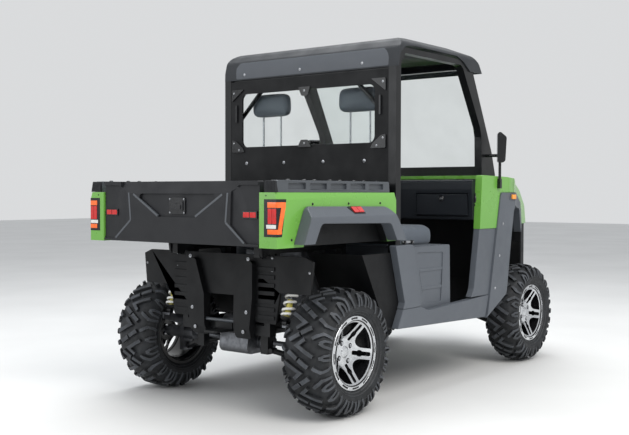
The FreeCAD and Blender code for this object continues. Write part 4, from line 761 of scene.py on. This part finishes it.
# Bolts on upright faces. Columns: name, finish, body, and rows of the face's axis and place, whether both
# sides have them, the head's radius, and the heads' other two coordinates
BOLTS = [
    ("latch_bolts", "bolt_steel", "tailgate", [
        (0, -1565.3, False, 3.6, ((-51, 1044), (-51, 1113), (51, 1044), (51, 1113)))]),
    ("bed_bolts", "dark_gloss", "bed", [
        (1, 670, True, 4.5, ((-1300, 1092), (-1000, 1092), (-711, 1092), (-1462, 922))),
        (0, -1568.5, True, 4.5, ((604, 1133),))]),
    ("flare_bolts", "bolt_steel", "chassis", [
        (1, 743, True, 6.5, ((586, 951), (540, 749), (482, 547)))]),
    ("guard_bolts", "bolt_steel", "chassis", [
        (0, -1225.3, True, 5, ((348, 810), (348, 745), (594, 744))),
        (0, -1260.3, True, 7, ((212, 800), (198, 520), (176, 415)))]),
    ("rear_panel_screws", "bolt_steel", "chassis", [
        (0, -518, False, 7, ((463, 1329), (161, 1329), (-137, 1329), (-431, 1329)))]),
    ("rear_window_bolts", "bolt_steel", "chassis", [
        (0, -527, False, 4.5, ((-2, 1440), (-2, 1752))),
        (0, -527, True, 4.5, ((562, 1455), (520, 1412), (562, 1768)))]),
    ("roof_screws", "bolt_steel", "chassis", [
        (0, -511, False, 6, ((488, 1883), (45, 1883), (-409, 1883)))]),
]


def make_bolts():
    """Bolt heads that face the rear (axis 0) or the sides (axis 1)."""
    for name, finish, body, rows in BOLTS:
        heads = Gather()
        for axis, at, paired, radius, spots in rows:
            for sign in (1, -1) if paired else (1,):
                place = facing(1, sign * at, sign) if axis else facing(0, at, -1)
                for a, b in spots:
                    heads.turned(place, a if axis else sign * a, b, bolt_profile(radius))
        heads.done(name, finish, body)


# Lamps, reflectors and markers

LAMP_REAR = -1573
LAMP_SIDE = 671
FLARE_SIDE = 743


def wrapped_bar(front):
    """The plan of a lens bar that runs across a tail lamp's rear and forward along its side, as (x, y)."""
    return [(LAMP_REAR - 2, 615), (LAMP_REAR - 2, LAMP_SIDE - 3), (LAMP_REAR + 3, LAMP_SIDE + 2),
            (front, LAMP_SIDE + 2), (front, LAMP_SIDE - 1), (LAMP_REAR + 4, LAMP_SIDE - 1),
            (LAMP_REAR + 1, LAMP_SIDE - 4), (LAMP_REAR + 1, 615)]


def make_tail_lamps():
    """Orange bars that wrap the bed's corners, a red stop lamp of two cells and a white reverse lamp."""
    for side_name, sign in SIDES:
        orange, red, white = Gather(), Gather(), Gather()
        for front, low, high in ((-1508, 1076, 1102), (-1537, 951, 974)):
            orange.rings([[(x, sign * y, z) for x, y in wrapped_bar(front)] for z in (low, high)])
        side = facing(1, sign * LAMP_SIDE, sign)
        orange.slab(side, [(-1509, 1077), (-1540, 1077), (-1564, 973), (-1536, 973)], -1, 2)
        rear = facing(0, LAMP_REAR, -1)
        for y0, y1 in ((617, 641.5), (643.5, 668)):
            red.slab(rear, oblong(sign * y0, 1000, sign * y1, 1072, 3), -1, 1.9)
        white.slab(rear, oblong(sign * 608, 978, sign * 667, 996, 3), -1, 1.9)
        orange.done(f"tail_lamp_{side_name}_bars", "lamp_orange", "bed", 0.8)
        red.done(f"tail_lamp_{side_name}_stop", "lamp_red", "bed", 0.8)
        white.done(f"tail_lamp_{side_name}_reverse", "lamp_white", "bed", 0.8)


def make_side_markers():
    """Red markers on the bed flares' sloping face and amber ones on the front flares."""
    for side_name, sign in SIDES:
        base, red, rim, amber = Gather(), Gather(), Gather(), Gather()
        slope = leaning((-983, sign * 709, 1057.5), (-sign, 0, 0), (0, -sign * 54, 55))
        base.slab(slope, [(-sign * a, b) for a, b in ((-64, 22), (-52, 26), (52, 26), (56, -24), (-38, -24))],
                  -1, 4)
        for a0, a1 in ((-40, 2), (5, 46)):
            red.slab(slope, oblong(-sign * a0, -18, -sign * a1, 18, 3), 3, 9)
        flare = facing(1, sign * FLARE_SIDE, sign)
        rim.slab(flare, rounded([(676, 1102), (757, 1098), (757, 1141), (690, 1146)], 7), -1, 3)
        amber.slab(flare, oblong(698, 1108, 753, 1137, 6), 2, 11)
        base.done(f"bed_marker_base_{side_name}", "dark_gloss", "bed", 1.5)
        red.done(f"bed_marker_lens_{side_name}", "lamp_red", "bed", 2)
        rim.done(f"flare_marker_base_{side_name}", "roof_trim", "chassis", 1)
        amber.done(f"flare_marker_lens_{side_name}", "lamp_amber", "chassis", 3)


# The bowls behind each clear lamp block. Columns: distance out, depth behind the block's front
BOWLS = ((345, 24), (420, 34))
BOWL = [(12, -34), (24, -27), (33, -12), (37, 0), (35, 0), (31, -12), (22, -25), (10, -30)]
BULB = [(5, -32), (6, -16), (4, -9), (1, -7)]


def make_headlamps():
    """A dark housing behind each clear lamp block, with round reflector bowls and their bulbs."""
    low, high = (Vector(c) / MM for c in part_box("headlamps"))
    bowls, bulbs, shells = Gather(), Gather(), Gather()
    middle = (low.z + high.z) / 2
    for sign in (1, -1):
        outline = oblong(sign * 292, low.z - 2, sign * 474, high.z + 2, 12)
        shells.slab(facing(0, low.x - 1, -1), outline, 0, 22)
        for y, reach in BOWLS:
            place = facing(0, high.x - reach, 1)
            bowls.turned(place, sign * y, middle, BOWL, 24)
            bulbs.turned(place, sign * y, middle, BULB, 12)
    shells.done("headlamp_housings", "black_plastic", "chassis", 4)
    bowls.done("headlamp_bowls", "mirror", "chassis")
    bulbs.done("headlamp_bulbs", "lamp_white", "chassis")


# Bed and tailgate

LATCH_BACK = -1558.3
REFLECTOR_BACK = -1562.3
GATE_FACE = -1571.6
RAIL_REAR = -1557.5
RAIL_TOP = 1207


def make_latch():
    """The tailgate's paddle latch on its plate, and two red reflectors in dark bezels."""
    place = facing(0, LATCH_BACK, -1)
    reflector = facing(0, REFLECTOR_BACK, -1)
    latch, cells = Gather(), Gather()
    latch.slab(place, oblong(-58, 1036, 58, 1121, 10), 0, 7)
    latch.slab(place, oblong(-46, 1055, 46, 1103, 8), 6, 12)
    latch.slab(place, oblong(-34, 1062, 34, 1084, 6), 11, 16.2)
    latch.turned(place, 0, 1094, [(5, 11), (5, 13.5), (3.5, 14.5)], 16)
    for sign in (1, -1):
        latch.slab(reflector, oblong(sign * 450, 1022, sign * 545, 1059, 4), 0, 6)
        for y0, y1 in ((457, 495), (500, 538)):
            cells.slab(reflector, oblong(sign * y0, 1028, sign * y1, 1053, 3), 5, 7.6)
    latch.done("latch_and_bezels", "dark_gloss", "tailgate", 1.2, ("tailgate_latch",))
    cells.done("tailgate_reflectors", "lamp_red", "tailgate", 0.8)


# The painted highlight strips on the tailgate's left half, lighter grey slabs for the light that its edges
# catch, each from and to a (y, z) point, and half their width
HIGHLIGHT_STRIPS = (((322, 1138), (136, 1026)), ((358, 1146), (344, 1001)), ((344, 1001), (465, 903)))
HIGHLIGHT_STRIP_HALF = 5.5


def make_tailgate_highlight_strips():
    """Painted highlights: lighter grey strips along the recess's slanting edges and beside the steps to the
    set-back ends.
    """
    face = facing(0, GATE_FACE, -1)
    strips = Gather()
    for sign in (1, -1):
        for ends in HIGHLIGHT_STRIPS:
            start, end = (Vector(spot) for spot in ends)
            along = (end - start).normalized()
            across = Vector((-along.y, along.x)) * HIGHLIGHT_STRIP_HALF
            corners = [start + across, end + across, end - across, start - across]
            # painted highlight: a lighter grey slab stands for the light that the edge catches
            strips.slab(face, [(sign * spot.x, spot.y) for spot in corners], -10, 1.6)
    strips.done("tailgate_highlight_strips", "rail_grey", "tailgate", 1)


def make_corner_pins():
    """The bright spring pin that lies on each rear body corner, in two small saddles."""
    pins, saddles = Gather(), Gather()
    for sign in (1, -1):
        pins.tube([(-538, sign * 700, 876), (-425, sign * 700, 874)], 7, 12)
        for x in (-520, -446):
            saddles.slab(facing(2, 863, 1), oblong(x - 9, sign * 688, x + 9, sign * 712, 3), 0, 20)
    pins.done("corner_pins", "bolt_steel", "chassis", 1)
    saddles.done("corner_pin_saddles", "dark_gloss", "chassis", 1.5)


def make_bed_details():
    """Ribbed caps on the rails' rear ends, and studs along the rails."""
    caps, studs = Gather(), Gather()
    place = facing(0, RAIL_REAR, -1)
    top = facing(2, RAIL_TOP, 1)
    for sign in (1, -1):
        outline = [(sign * a, b) for a, b in ((592, 1149.5), (668, 1149.5), (655, 1205), (592, 1205))]
        caps.slab(place, rounded(outline, 4), 0, 12)
        for k in range(7):
            y0, y1 = sign * (600 + 8.5 * k), sign * (603 + 8.5 * k)
            caps.slab(place, [(y0, 1155), (y1, 1155), (y1, 1200), (y0, 1200)], 11, 13.5)
        for x in (-1452, -1328, -1246, -1116, -1034, -909, -820, -698):
            studs.turned(top, x, sign * 640, [(11, -1), (11, 2.5), (8, 5), (3, 6)], 16)
    caps.done("rail_end_caps", "black_plastic", "bed", 1)
    studs.done("rail_studs", "dark_gloss", "bed")


# The foot and the upper corners of a bed side's wheel opening, as (x, z), from the rear
ARCH_LINE = ((-1370, 885), (-1323, 1006), (-694, 994), (-639, 885))
ARCH_BEND = 28
ARCH_STEPS = 5
LINER_THICK = 4


def arch_line(inset):
    """The opening's outline, drawn in by an inset, with its two upper corners rounded."""
    moves = ((inset, 0), (inset, -inset), (-inset, -inset), (-inset, 0))
    corners = [(x + dx, z + dz) for (x, z), (dx, dz) in zip(ARCH_LINE, moves)]
    per_corner = ARCH_STEPS + 1
    bends = rounded(corners, ARCH_BEND, ARCH_STEPS)[per_corner:3 * per_corner]
    return [corners[0]] + bends + [corners[3]]


def make_arch_liners():
    """A thin dark liner on the walls of each bed side's wheel opening."""
    liners = Gather()
    for sign in (1, -1):
        liners.slab(facing(1, 0, sign), arch_line(0) + arch_line(LINER_THICK)[::-1], 626, 669)
    liners.done("arch_liners", "panel_black", "bed")


# Cab and roof

PANEL_BACK = -518


def make_window_clamps():
    """The dark clamps and catches round the rear window."""
    place = facing(0, PANEL_BACK, -1)
    clamps = Gather()
    clamps.slab(place, rounded([(-54, 1418), (50, 1418), (24, 1462), (-24, 1462)], 8), 0, 9)
    clamps.slab(place, rounded([(-46, 1776), (46, 1776), (20, 1722), (-24, 1722)], 8), 0, 9)
    for sign in (1, -1):
        lower = ((580, 1398), (476, 1398), (490, 1424), (548, 1470), (580, 1476))
        for outline in (lower, ((580, 1716), (480, 1790), (580, 1790))):
            clamps.slab(place, rounded([(sign * y, z) for y, z in outline], 8), 0, 9)
        clamps.slab(place, oblong(sign * 536, 1585, sign * 548, 1695, 5), 0, 12)
    clamps.done("rear_window_clamps", "dark_gloss", "chassis", 2)


# The roof's paler rear panel. Columns: height, rear face of the roof, reach to the left and to the right
ROOF_INSERT = [
    (1856, -510.5, 546, 582),
    (1862, -510.5, 556, 588),
    (1900, -509, 559, 590),
    (1926, -503, 561, 580),
    (1944, -498.5, 548, 566),
    (1958, -494.5, 532, 548),
]


def make_roof_insert():
    """The paler rear panel of the roof."""
    insert = Gather()
    insert.rings([[(x - 2, left, z), (x + 5, left, z), (x + 5, -right, z), (x - 2, -right, z)]
                  for z, x, left, right in ROOF_INSERT])
    insert.done("roof_rear_insert", "roof_trim", "chassis", 1.5)


# The left mirror head's middle, its turn, and the distance from there to its rear face
MIRROR_X = 547
MIRROR_Y = 750.5
MIRROR_Z = 1434
MIRROR_TURN = math.radians(60)
MIRROR_BACK = 28


def make_mirrors():
    """The mirror's dark glass on the rear face of each turned head."""
    glass = Gather()
    for sign in (1, -1):
        back = Vector((-math.cos(MIRROR_TURN), -sign * math.sin(MIRROR_TURN), 0))
        spot = Vector((MIRROR_X, sign * MIRROR_Y, MIRROR_Z)) + back * MIRROR_BACK
        across = Vector((0, 0, 1)).cross(back)
        glass.slab(leaning(spot, across, (0, 0, 1)), oblong(-40, -78, 40, 78, 14), -1, 1.5)
    glass.done("mirror_glass", "mirror_dark", "chassis", 0.6)


LID_FACE = 271.5
LOCK_AT = (-472, 1112)
DASH_END = 689
VENT_AT = (344, 1104)
VENT_EARS = 4
VENT_EAR_R = 46


def make_dash_details():
    """The glove box's lock, and the round vents in the ends of the dashboard."""
    lid = facing(0, LID_FACE, -1)
    lock, key = Gather(), Gather()
    lock.turned(lid, *LOCK_AT, [(19, -1), (19, 3), (15, 7), (12, 7), (10, 4), (3, 4)], 24)
    key.turned(lid, *LOCK_AT, [(8, 3.5), (8, 6), (6, 6.6)], 16)
    lock.done("glove_box_lock", "dark_gloss", "glove_box_lid", 0.6)
    key.done("glove_box_barrel", "bolt_steel", "glove_box_lid", 0.4)
    x, z = VENT_AT
    for side_name, sign in SIDES:
        end = facing(1, sign * DASH_END, sign)
        knob, core = Gather(), Gather()
        knob.turned(end, x, z, [(44, -1), (44, 6), (38, 12), (30, 12), (26, 7), (4, 7)], 32)
        for k in range(VENT_EARS):
            turn = math.tau * (k + 0.5) / VENT_EARS
            knob.turned(end, x + VENT_EAR_R * math.cos(turn), z + VENT_EAR_R * math.sin(turn),
                        [(10, -1), (10, 5), (7, 8)], 12)
        core.turned(end, x, z, [(23, 6), (21, 12), (9, 15), (7, 11)], 6)
        knob.done(f"dash_end_ring_{side_name}", "dark_gloss", "chassis", 1)
        core.done(f"dash_end_core_{side_name}", "bronze", "chassis", 1)


STEER_HUB = (130, 335, 1190)
STEER_FOOT = (573, 335, 930)
STEER_R = 180
STEER_GRIP_R = 13
# A spoke's inner and outer end, and half its width
SPOKE_FROM, SPOKE_TO, SPOKE_WIDE = 20, 160, 13


def make_steering_wheel():
    """A round rim with a thick grip, three flat spokes and a domed hub, square to its column."""
    axis = (Vector(STEER_FOOT) - Vector(STEER_HUB)).normalized()
    across = Vector((0, 1, 0))
    place = leaning(STEER_HUB, across, across.cross(axis))
    rim, spokes = Gather(), Gather()
    rim.tube([place(a * 0.93, b * 0.93, 0) for a, b in circle(STEER_R, 64)], STEER_GRIP_R, 14, closed=True)
    rim.done("steering_rim", "wheel_grip", "steering_wheel", 0, ("steering_wheel",))
    outline = [(SPOKE_FROM, -SPOKE_WIDE - 4), (SPOKE_TO, -SPOKE_WIDE + 2), (SPOKE_TO, SPOKE_WIDE - 2),
               (SPOKE_FROM, SPOKE_WIDE + 4)]
    for turn in (0, math.pi, 1.5 * math.pi):
        cos, sin = math.cos(turn), math.sin(turn)
        spokes.slab(place, [(a * cos - b * sin, a * sin + b * cos) for a, b in outline], -3, 4)
    spokes.turned(place, 0, 0, [(34, 24), (40, 4), (40, -8), (34, -16), (20, -20), (6, -21)], 32)
    spokes.done("steering_spokes", "dark_gloss", "steering_wheel", 1.5)


# Suspension

# Columns: foot, head, turns of the coil
SHOCKS = [
    ((-1210, 425, 478), (-1140, 425, 670), 5),
    ((1085, 400, 322), (1085, 295, 640), 9),
]
COIL_R = 28.5
COIL_WIRE = 7
COIL_STEPS = 20


def coil_path(place, turns, start, end):
    """A coil's middle line on a damper, wound closer at both ends."""
    path = []
    for i in range(turns * COIL_STEPS + 1):
        share = i / (turns * COIL_STEPS)
        turn = math.tau * turns * share
        rise = start + (end - start) * (share - 0.35 * math.sin(math.tau * share) / math.tau)
        path.append(place(COIL_R * math.cos(turn), COIL_R * math.sin(turn), rise))
    return path


def make_shocks():
    """Coil-over dampers: white coils, yellow bodies, bright rods, dark seats and eyes."""
    coils, bodies, rods, ends = Gather(), Gather(), Gather(), Gather()
    for foot, head, turns in SHOCKS:
        for sign in (1, -1):
            low = Vector((foot[0], sign * foot[1], foot[2]))
            high = Vector((head[0], sign * head[1], head[2]))
            along = (high - low).normalized()
            length = (high - low).length
            first = Vector((0, 1, 0)).cross(along).normalized()
            second = along.cross(first)
            place = leaning(low, first, second)
            coils.tube(coil_path(place, turns, 34, length - 30), COIL_WIRE, 8)
            bodies.turned(place, 0, 0, [(15, 22), (16, 24), (16, length * 0.58), (14, length * 0.6)], 20)
            rods.turned(place, 0, 0, [(7, length * 0.58), (7, length - 16)], 12)
            ends.turned(place, 0, 0, [(13, 8), (33, 20), (36, 24), (36, 29), (22, 30)], 24)
            ends.turned(place, 0, 0, [(18, length - 26), (34, length - 25), (34, length - 20),
                                      (12, length - 10)], 24)
            pin = first if foot[0] == head[0] else second
            for spot in (low, high):
                ends.tube([spot - pin * 14, spot + pin * 14], 14, 16)
    coils.done("shock_coils", "spring_white", "chassis", 0, ("shock_absorbers",))
    bodies.done("shock_bodies", "damper_yellow", "chassis", 1)
    rods.done("shock_rods", "bolt_steel", "chassis")
    ends.done("shock_ends", "frame_paint", "chassis", 1)


def make_cross_pipe():
    """The pipe across the rear guard's opening."""
    pipe = Gather()
    pipe.tube([(-1240, -112, 463), (-1240, 112, 463)], 9, 16)
    pipe.done("guard_cross_pipe", "rail_grey", "chassis")


# Grille

WIRE_STEP = 20
WIRE_R = 1.6


def make_grille():
    """A fine wire mesh behind the openings of the front fascia."""
    low, high = (Vector(c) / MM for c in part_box("front_fascia"))
    mesh = Gather()
    x = high.x - 48
    for k in range(25):
        y = -240 + WIRE_STEP * k
        mesh.tube([(x, y, low.z + 60), (x, y, high.z - 50)], WIRE_R, 6)
    for k in range(13):
        z = low.z + 62 + WIRE_STEP * k
        mesh.tube([(x, -244, z), (x, 244, z)], WIRE_R, 6)
    mesh.done("grille_mesh", "dark_gloss", "chassis")


# Seats


def pressed(obj, cap):
    """Swells a closed mesh like stuffed vinyl by a short cloth run, with its moves capped in millimetres."""
    remesh = obj.modifiers.new("remesh", "REMESH")
    remesh.mode = "VOXEL"
    remesh.voxel_size = 0.0115
    settle(obj)
    before = [v.co.copy() for v in obj.data.vertices]
    cloth = obj.modifiers.new("cloth", "CLOTH")
    cloth.settings.use_pressure = True
    cloth.settings.uniform_pressure_force = 4
    cloth.settings.effector_weights.gravity = 0
    cloth.settings.quality = 5
    scene = bpy.context.scene
    for moment in range(1, 21):
        scene.frame_set(moment)
    settle(obj)
    scene.frame_set(1)
    limit = cap * MM
    for vertex, start in zip(obj.data.vertices, before):
        move = vertex.co - start
        if move.length > limit:
            vertex.co = start + move.normalized() * limit
    smooth = obj.modifiers.new("smooth", "SMOOTH")
    smooth.factor = 0.5
    smooth.iterations = 4
    finer = obj.modifiers.new("finer", "SUBSURF")
    finer.levels = 1
    finer.render_levels = 1
    settle(obj)
    obj.data.polygons.foreach_set("use_smooth", [True] * len(obj.data.polygons))


def pad(name, place, outline, thick, cap, channels):
    """A stuffed pad on a face, from an outline (a, b) and a thickness, with sewn channels across it."""
    body = Gather()
    centre = [sum(p[i] for p in outline) / len(outline) for i in (0, 1)]
    rows = []
    # Columns: height off the face, how far the outline is drawn in there
    for out, inset in ((0, 14), (8, 4), (thick / 2, 0), (thick - 12, 5), (thick - 3, 16)):
        rows.append([])
        for a, b in outline:
            away = Vector((a - centre[0], b - centre[1]))
            spot = away - away.normalized() * inset
            rows[-1].append(place(centre[0] + spot.x, centre[1] + spot.y, out))
    body.rings(rows)
    made = body.mesh(name, "seat_vinyl")
    pressed(made, cap)
    groove(made, place, channels)
    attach(made, "chassis")
    return made


GROOVE_WIDTH = 7.0


def groove(obj, place, channels):
    """Draws the skin in along sewn lines: each channel is (first point, second point, depth), as (a, b)."""
    origin = Vector(place(0, 0, 0))
    first, second, away = (Vector(place(*step)) - origin for step in ((1, 0, 0), (0, 1, 0), (0, 0, 1)))
    for vertex in obj.data.vertices:
        spot = vertex.co / MM - origin
        flat = Vector((spot.dot(first), spot.dot(second)))
        drop = 0.0
        for start, end, depth in channels:
            a, b = Vector(start), Vector(end)
            along = (b - a).normalized()
            reach = max(0.0, min((b - a).length, (flat - a).dot(along)))
            gap = (flat - a - along * reach).length
            drop = max(drop, depth * math.exp(-(gap / GROOVE_WIDTH) ** 2))
        if vertex.normal.dot(away) > 0.3:
            vertex.co -= away * drop * MM


SEAT_Y = 335
BACK_FACE = -455
POST_X = -421


def seat_rows(sign):
    """One seat's pads. Columns: name, node replaced, face, outline, thickness, most swelling, channels."""
    upright = facing(0, BACK_FACE, 1)
    near, far = sign * 120, sign * 496
    inner, outer = sign * 130, sign * 486
    return [
        ("cushion", "seat_cushions", facing(2, 841.6, 1),
         rounded([(-360, sign * 40), (14, sign * 40), (14, sign * 581), (-360, sign * 581)], 20, 5), 100, 18,
         [((-310, near), (-60, near), 7), ((-310, far), (-60, far), 7),
          ((-310, near), (-310, far), 6), ((-60, near), (-60, far), 6)]),
        ("backrest", "seat_backs", upright,
         rounded([(sign * 58, 972), (sign * 558, 972), (sign * 540, 1414), (sign * 76, 1414)], 44, 5), 78, 16,
         [((inner, 1030), (inner, 1360), 7), ((outer, 1030), (outer, 1360), 7),
          ((inner, 1200), (outer, 1200), 6)]),
        ("headrest", None, upright,
         rounded([(sign * 190, 1618), (sign * 480, 1618), (sign * 476, 1758), (sign * 194, 1758)], 46, 5),
         66, 12, [((sign * 226, 1625), (sign * 226, 1752), 5),
                  ((sign * 444, 1625), (sign * 444, 1752), 5)]),
    ]


def make_seats():
    """Two bucket seats' cushions, backs and headrests, each stuffed and sewn."""
    for side_name, sign in SIDES:
        for name, node, *form in seat_rows(sign):
            made = pad(f"{name}_{side_name}", *form)
            if node and sign == 1:
                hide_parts(node)
        posts, foot = Gather(), Gather()
        for dy in (-70, 70):
            posts.tube([(POST_X, sign * SEAT_Y + dy, 1400), (POST_X, sign * SEAT_Y + dy, 1640)], 6, 12)
        foot.slab(facing(0, BACK_FACE, 1), oblong(sign * 70, 843, sign * 546, 985, 20), 6, 60)
        posts.done(f"headrest_posts_{side_name}", "bolt_steel", "chassis")
        foot.done(f"backrest_foot_{side_name}", "seat_vinyl", "chassis", 8)


# Solids of the frame: new materials and rounded edges

# The solids that keep their form, by the radius of their edges in millimetres
SOLIDS_BY_EDGE = {
    6: "roof roll_cage rocker_panels engine_block",
    5: "bed_side_panels bed_flares b_pillar_panels jamb_panels seat_base front_flares cowl "
       "dashboard tail_guard mirrors",
    4: "tailgate bed_rails front_fascia rear_drive",
    3: "chassis_frame rear_cab_panel glove_box_lid",
    2.5: "hood front_fenders",
    2: "bed_tub well_panels headlamps rear_hub_carriers knuckle_left knuckle_right",
    1.5: "front_liners floor_pan tow_hitch tail_lamps steering_column",
    1.2: "suspension_arms",
    1: "front_bumper",
    0.6: "cab_glass",
}
EDGE = {name: radius for radius, names in SOLIDS_BY_EDGE.items() for name in names.split()}
# Solids whose finish isn't the one of their slot
OTHER_FINISH = {"tail_lamps": "dark_gloss", "bed_rails": "rail_grey", "dashboard": "dash_black",
                "glove_box_lid": "dash_black", "rear_cab_panel": "panel_black", "tail_guard": "panel_black",
                "well_panels": "panel_black", "front_liners": "panel_black", "floor_pan": "panel_black",
                "bed_tub": "panel_black", "roof": "roof_plastic"}


def dress_solids():
    """Gives each solid its finish, and rounds the edges of those that keep their form."""
    for name, solid in nodes.items():
        for place in solid.material_slots:
            slot_name = place.material.name.split(".")[0] if place.material else "black_plastic"
            slot_name = OTHER_FINISH.get(name, slot_name)
            place.material = finishes.get(slot_name, finishes["black_plastic"])
        if name in EDGE and not solid.hide_render:
            softened(solid, EDGE[name])


# Camera, floor and light

CAMERA_AT = (-4.9828, -3.5452, 1.1485)
CAMERA_YAW = math.radians(37.862)
CAMERA_PITCH = math.radians(-1.502)
CAMERA_ROLL = math.radians(0.103)
FOCAL_PIXELS = 956.9
IMAGE_WIDTH = 629


def make_camera():
    data = bpy.data.cameras.new("camera")
    data.sensor_width = 36
    data.lens = FOCAL_PIXELS / IMAGE_WIDTH * data.sensor_width
    data.clip_end = 200
    camera = bpy.data.objects.new("camera", data)
    bpy.context.scene.collection.objects.link(camera)
    camera.location = CAMERA_AT
    level = math.cos(CAMERA_PITCH)
    ahead = Vector((level * math.cos(CAMERA_YAW), level * math.sin(CAMERA_YAW), math.sin(CAMERA_PITCH)))
    turn = ahead.to_track_quat("-Z", "Y").to_matrix().to_4x4() @ Matrix.Rotation(CAMERA_ROLL, 4, "Z")
    camera.rotation_euler = turn.to_euler()
    bpy.context.scene.camera = camera


FLOOR_HALF = 30000


def make_floor():
    """A large pale floor with faint mottling, which takes the object's shadow."""
    t = Finish("studio_floor")
    mottled = t.mix(t.cloudy(0.8, 4.0), (0.72, 0.72, 0.71, 1.0), (0.78, 0.78, 0.77, 1.0))
    t.set(Base_Color=mottled, Roughness=0.7)
    corners = [(sx * FLOOR_HALF, sy * FLOOR_HALF, -0.5) for sx, sy in ((-1, -1), (1, -1), (1, 1), (-1, 1))]
    shape("floor", corners, [(0, 1, 2, 3)], [t.material])


def make_world():
    """Even light from all round, with a plain pale backdrop for the camera, reflections and glass."""
    world = bpy.data.worlds.new("studio")
    bpy.context.scene.world = world
    world.use_nodes = True
    world.node_tree.nodes.clear()
    t = Nodes(world.node_tree)
    light = t.add("ShaderNodeBackground", {"Color": (0.93, 0.96, 1.0, 1.0), "Strength": 0.62})
    back = t.add("ShaderNodeBackground", {"Color": (0.70, 0.71, 0.72, 1.0), "Strength": 1.0})
    path = t.add("ShaderNodeLightPath").outputs
    seen = path["Is Camera Ray"]
    for ray in ("Is Glossy Ray", "Is Transmission Ray"):
        seen = t.add("ShaderNodeMath", {0: seen, 1: path[ray]}, operation="MAXIMUM").outputs[0]
    mixed = t.add("ShaderNodeMixShader", {0: seen, 1: light.outputs[0], 2: back.outputs[0]})
    t.add("ShaderNodeOutputWorld", {0: mixed.outputs[0]})


LIGHT_AIM = Vector((0.0, 0.0, 0.8))
# Columns: name, place in metres, size, power, colour
LAMPS = [
    ("key", (-2.5, -5.5, 6.0), 4.5, 430, (1.0, 0.98, 0.95)),
    ("top", (0.5, 1.0, 6.5), 5.0, 300, (0.96, 0.98, 1.0)),
    ("fill", (-6.5, 3.0, 3.0), 4.0, 110, (0.95, 0.97, 1.0)),
]


def make_lamps():
    for name, place, size, power, colour in LAMPS:
        data = bpy.data.lights.new(name, "AREA")
        data.shape = "SQUARE"
        data.size = size
        data.energy = power
        data.color = colour
        lamp = bpy.data.objects.new(name, data)
        bpy.context.scene.collection.objects.link(lamp)
        lamp.location = place
        lamp.rotation_euler = (LIGHT_AIM - Vector(place)).to_track_quat("-Z", "Y").to_euler()


finishes = make_finishes()
for step in (make_camera, make_floor, make_world, make_lamps, make_wheels, make_bolts, make_tail_lamps,
             make_side_markers, make_headlamps, make_latch, make_bed_details, make_tailgate_highlight_strips,
             make_arch_liners, make_corner_pins, make_window_clamps, make_roof_insert, make_mirrors,
             make_dash_details, make_steering_wheel, make_shocks, make_cross_pipe, make_grille, make_seats,
             dress_solids):
    step()
bpy.context.scene.view_settings.view_transform = "Standard"
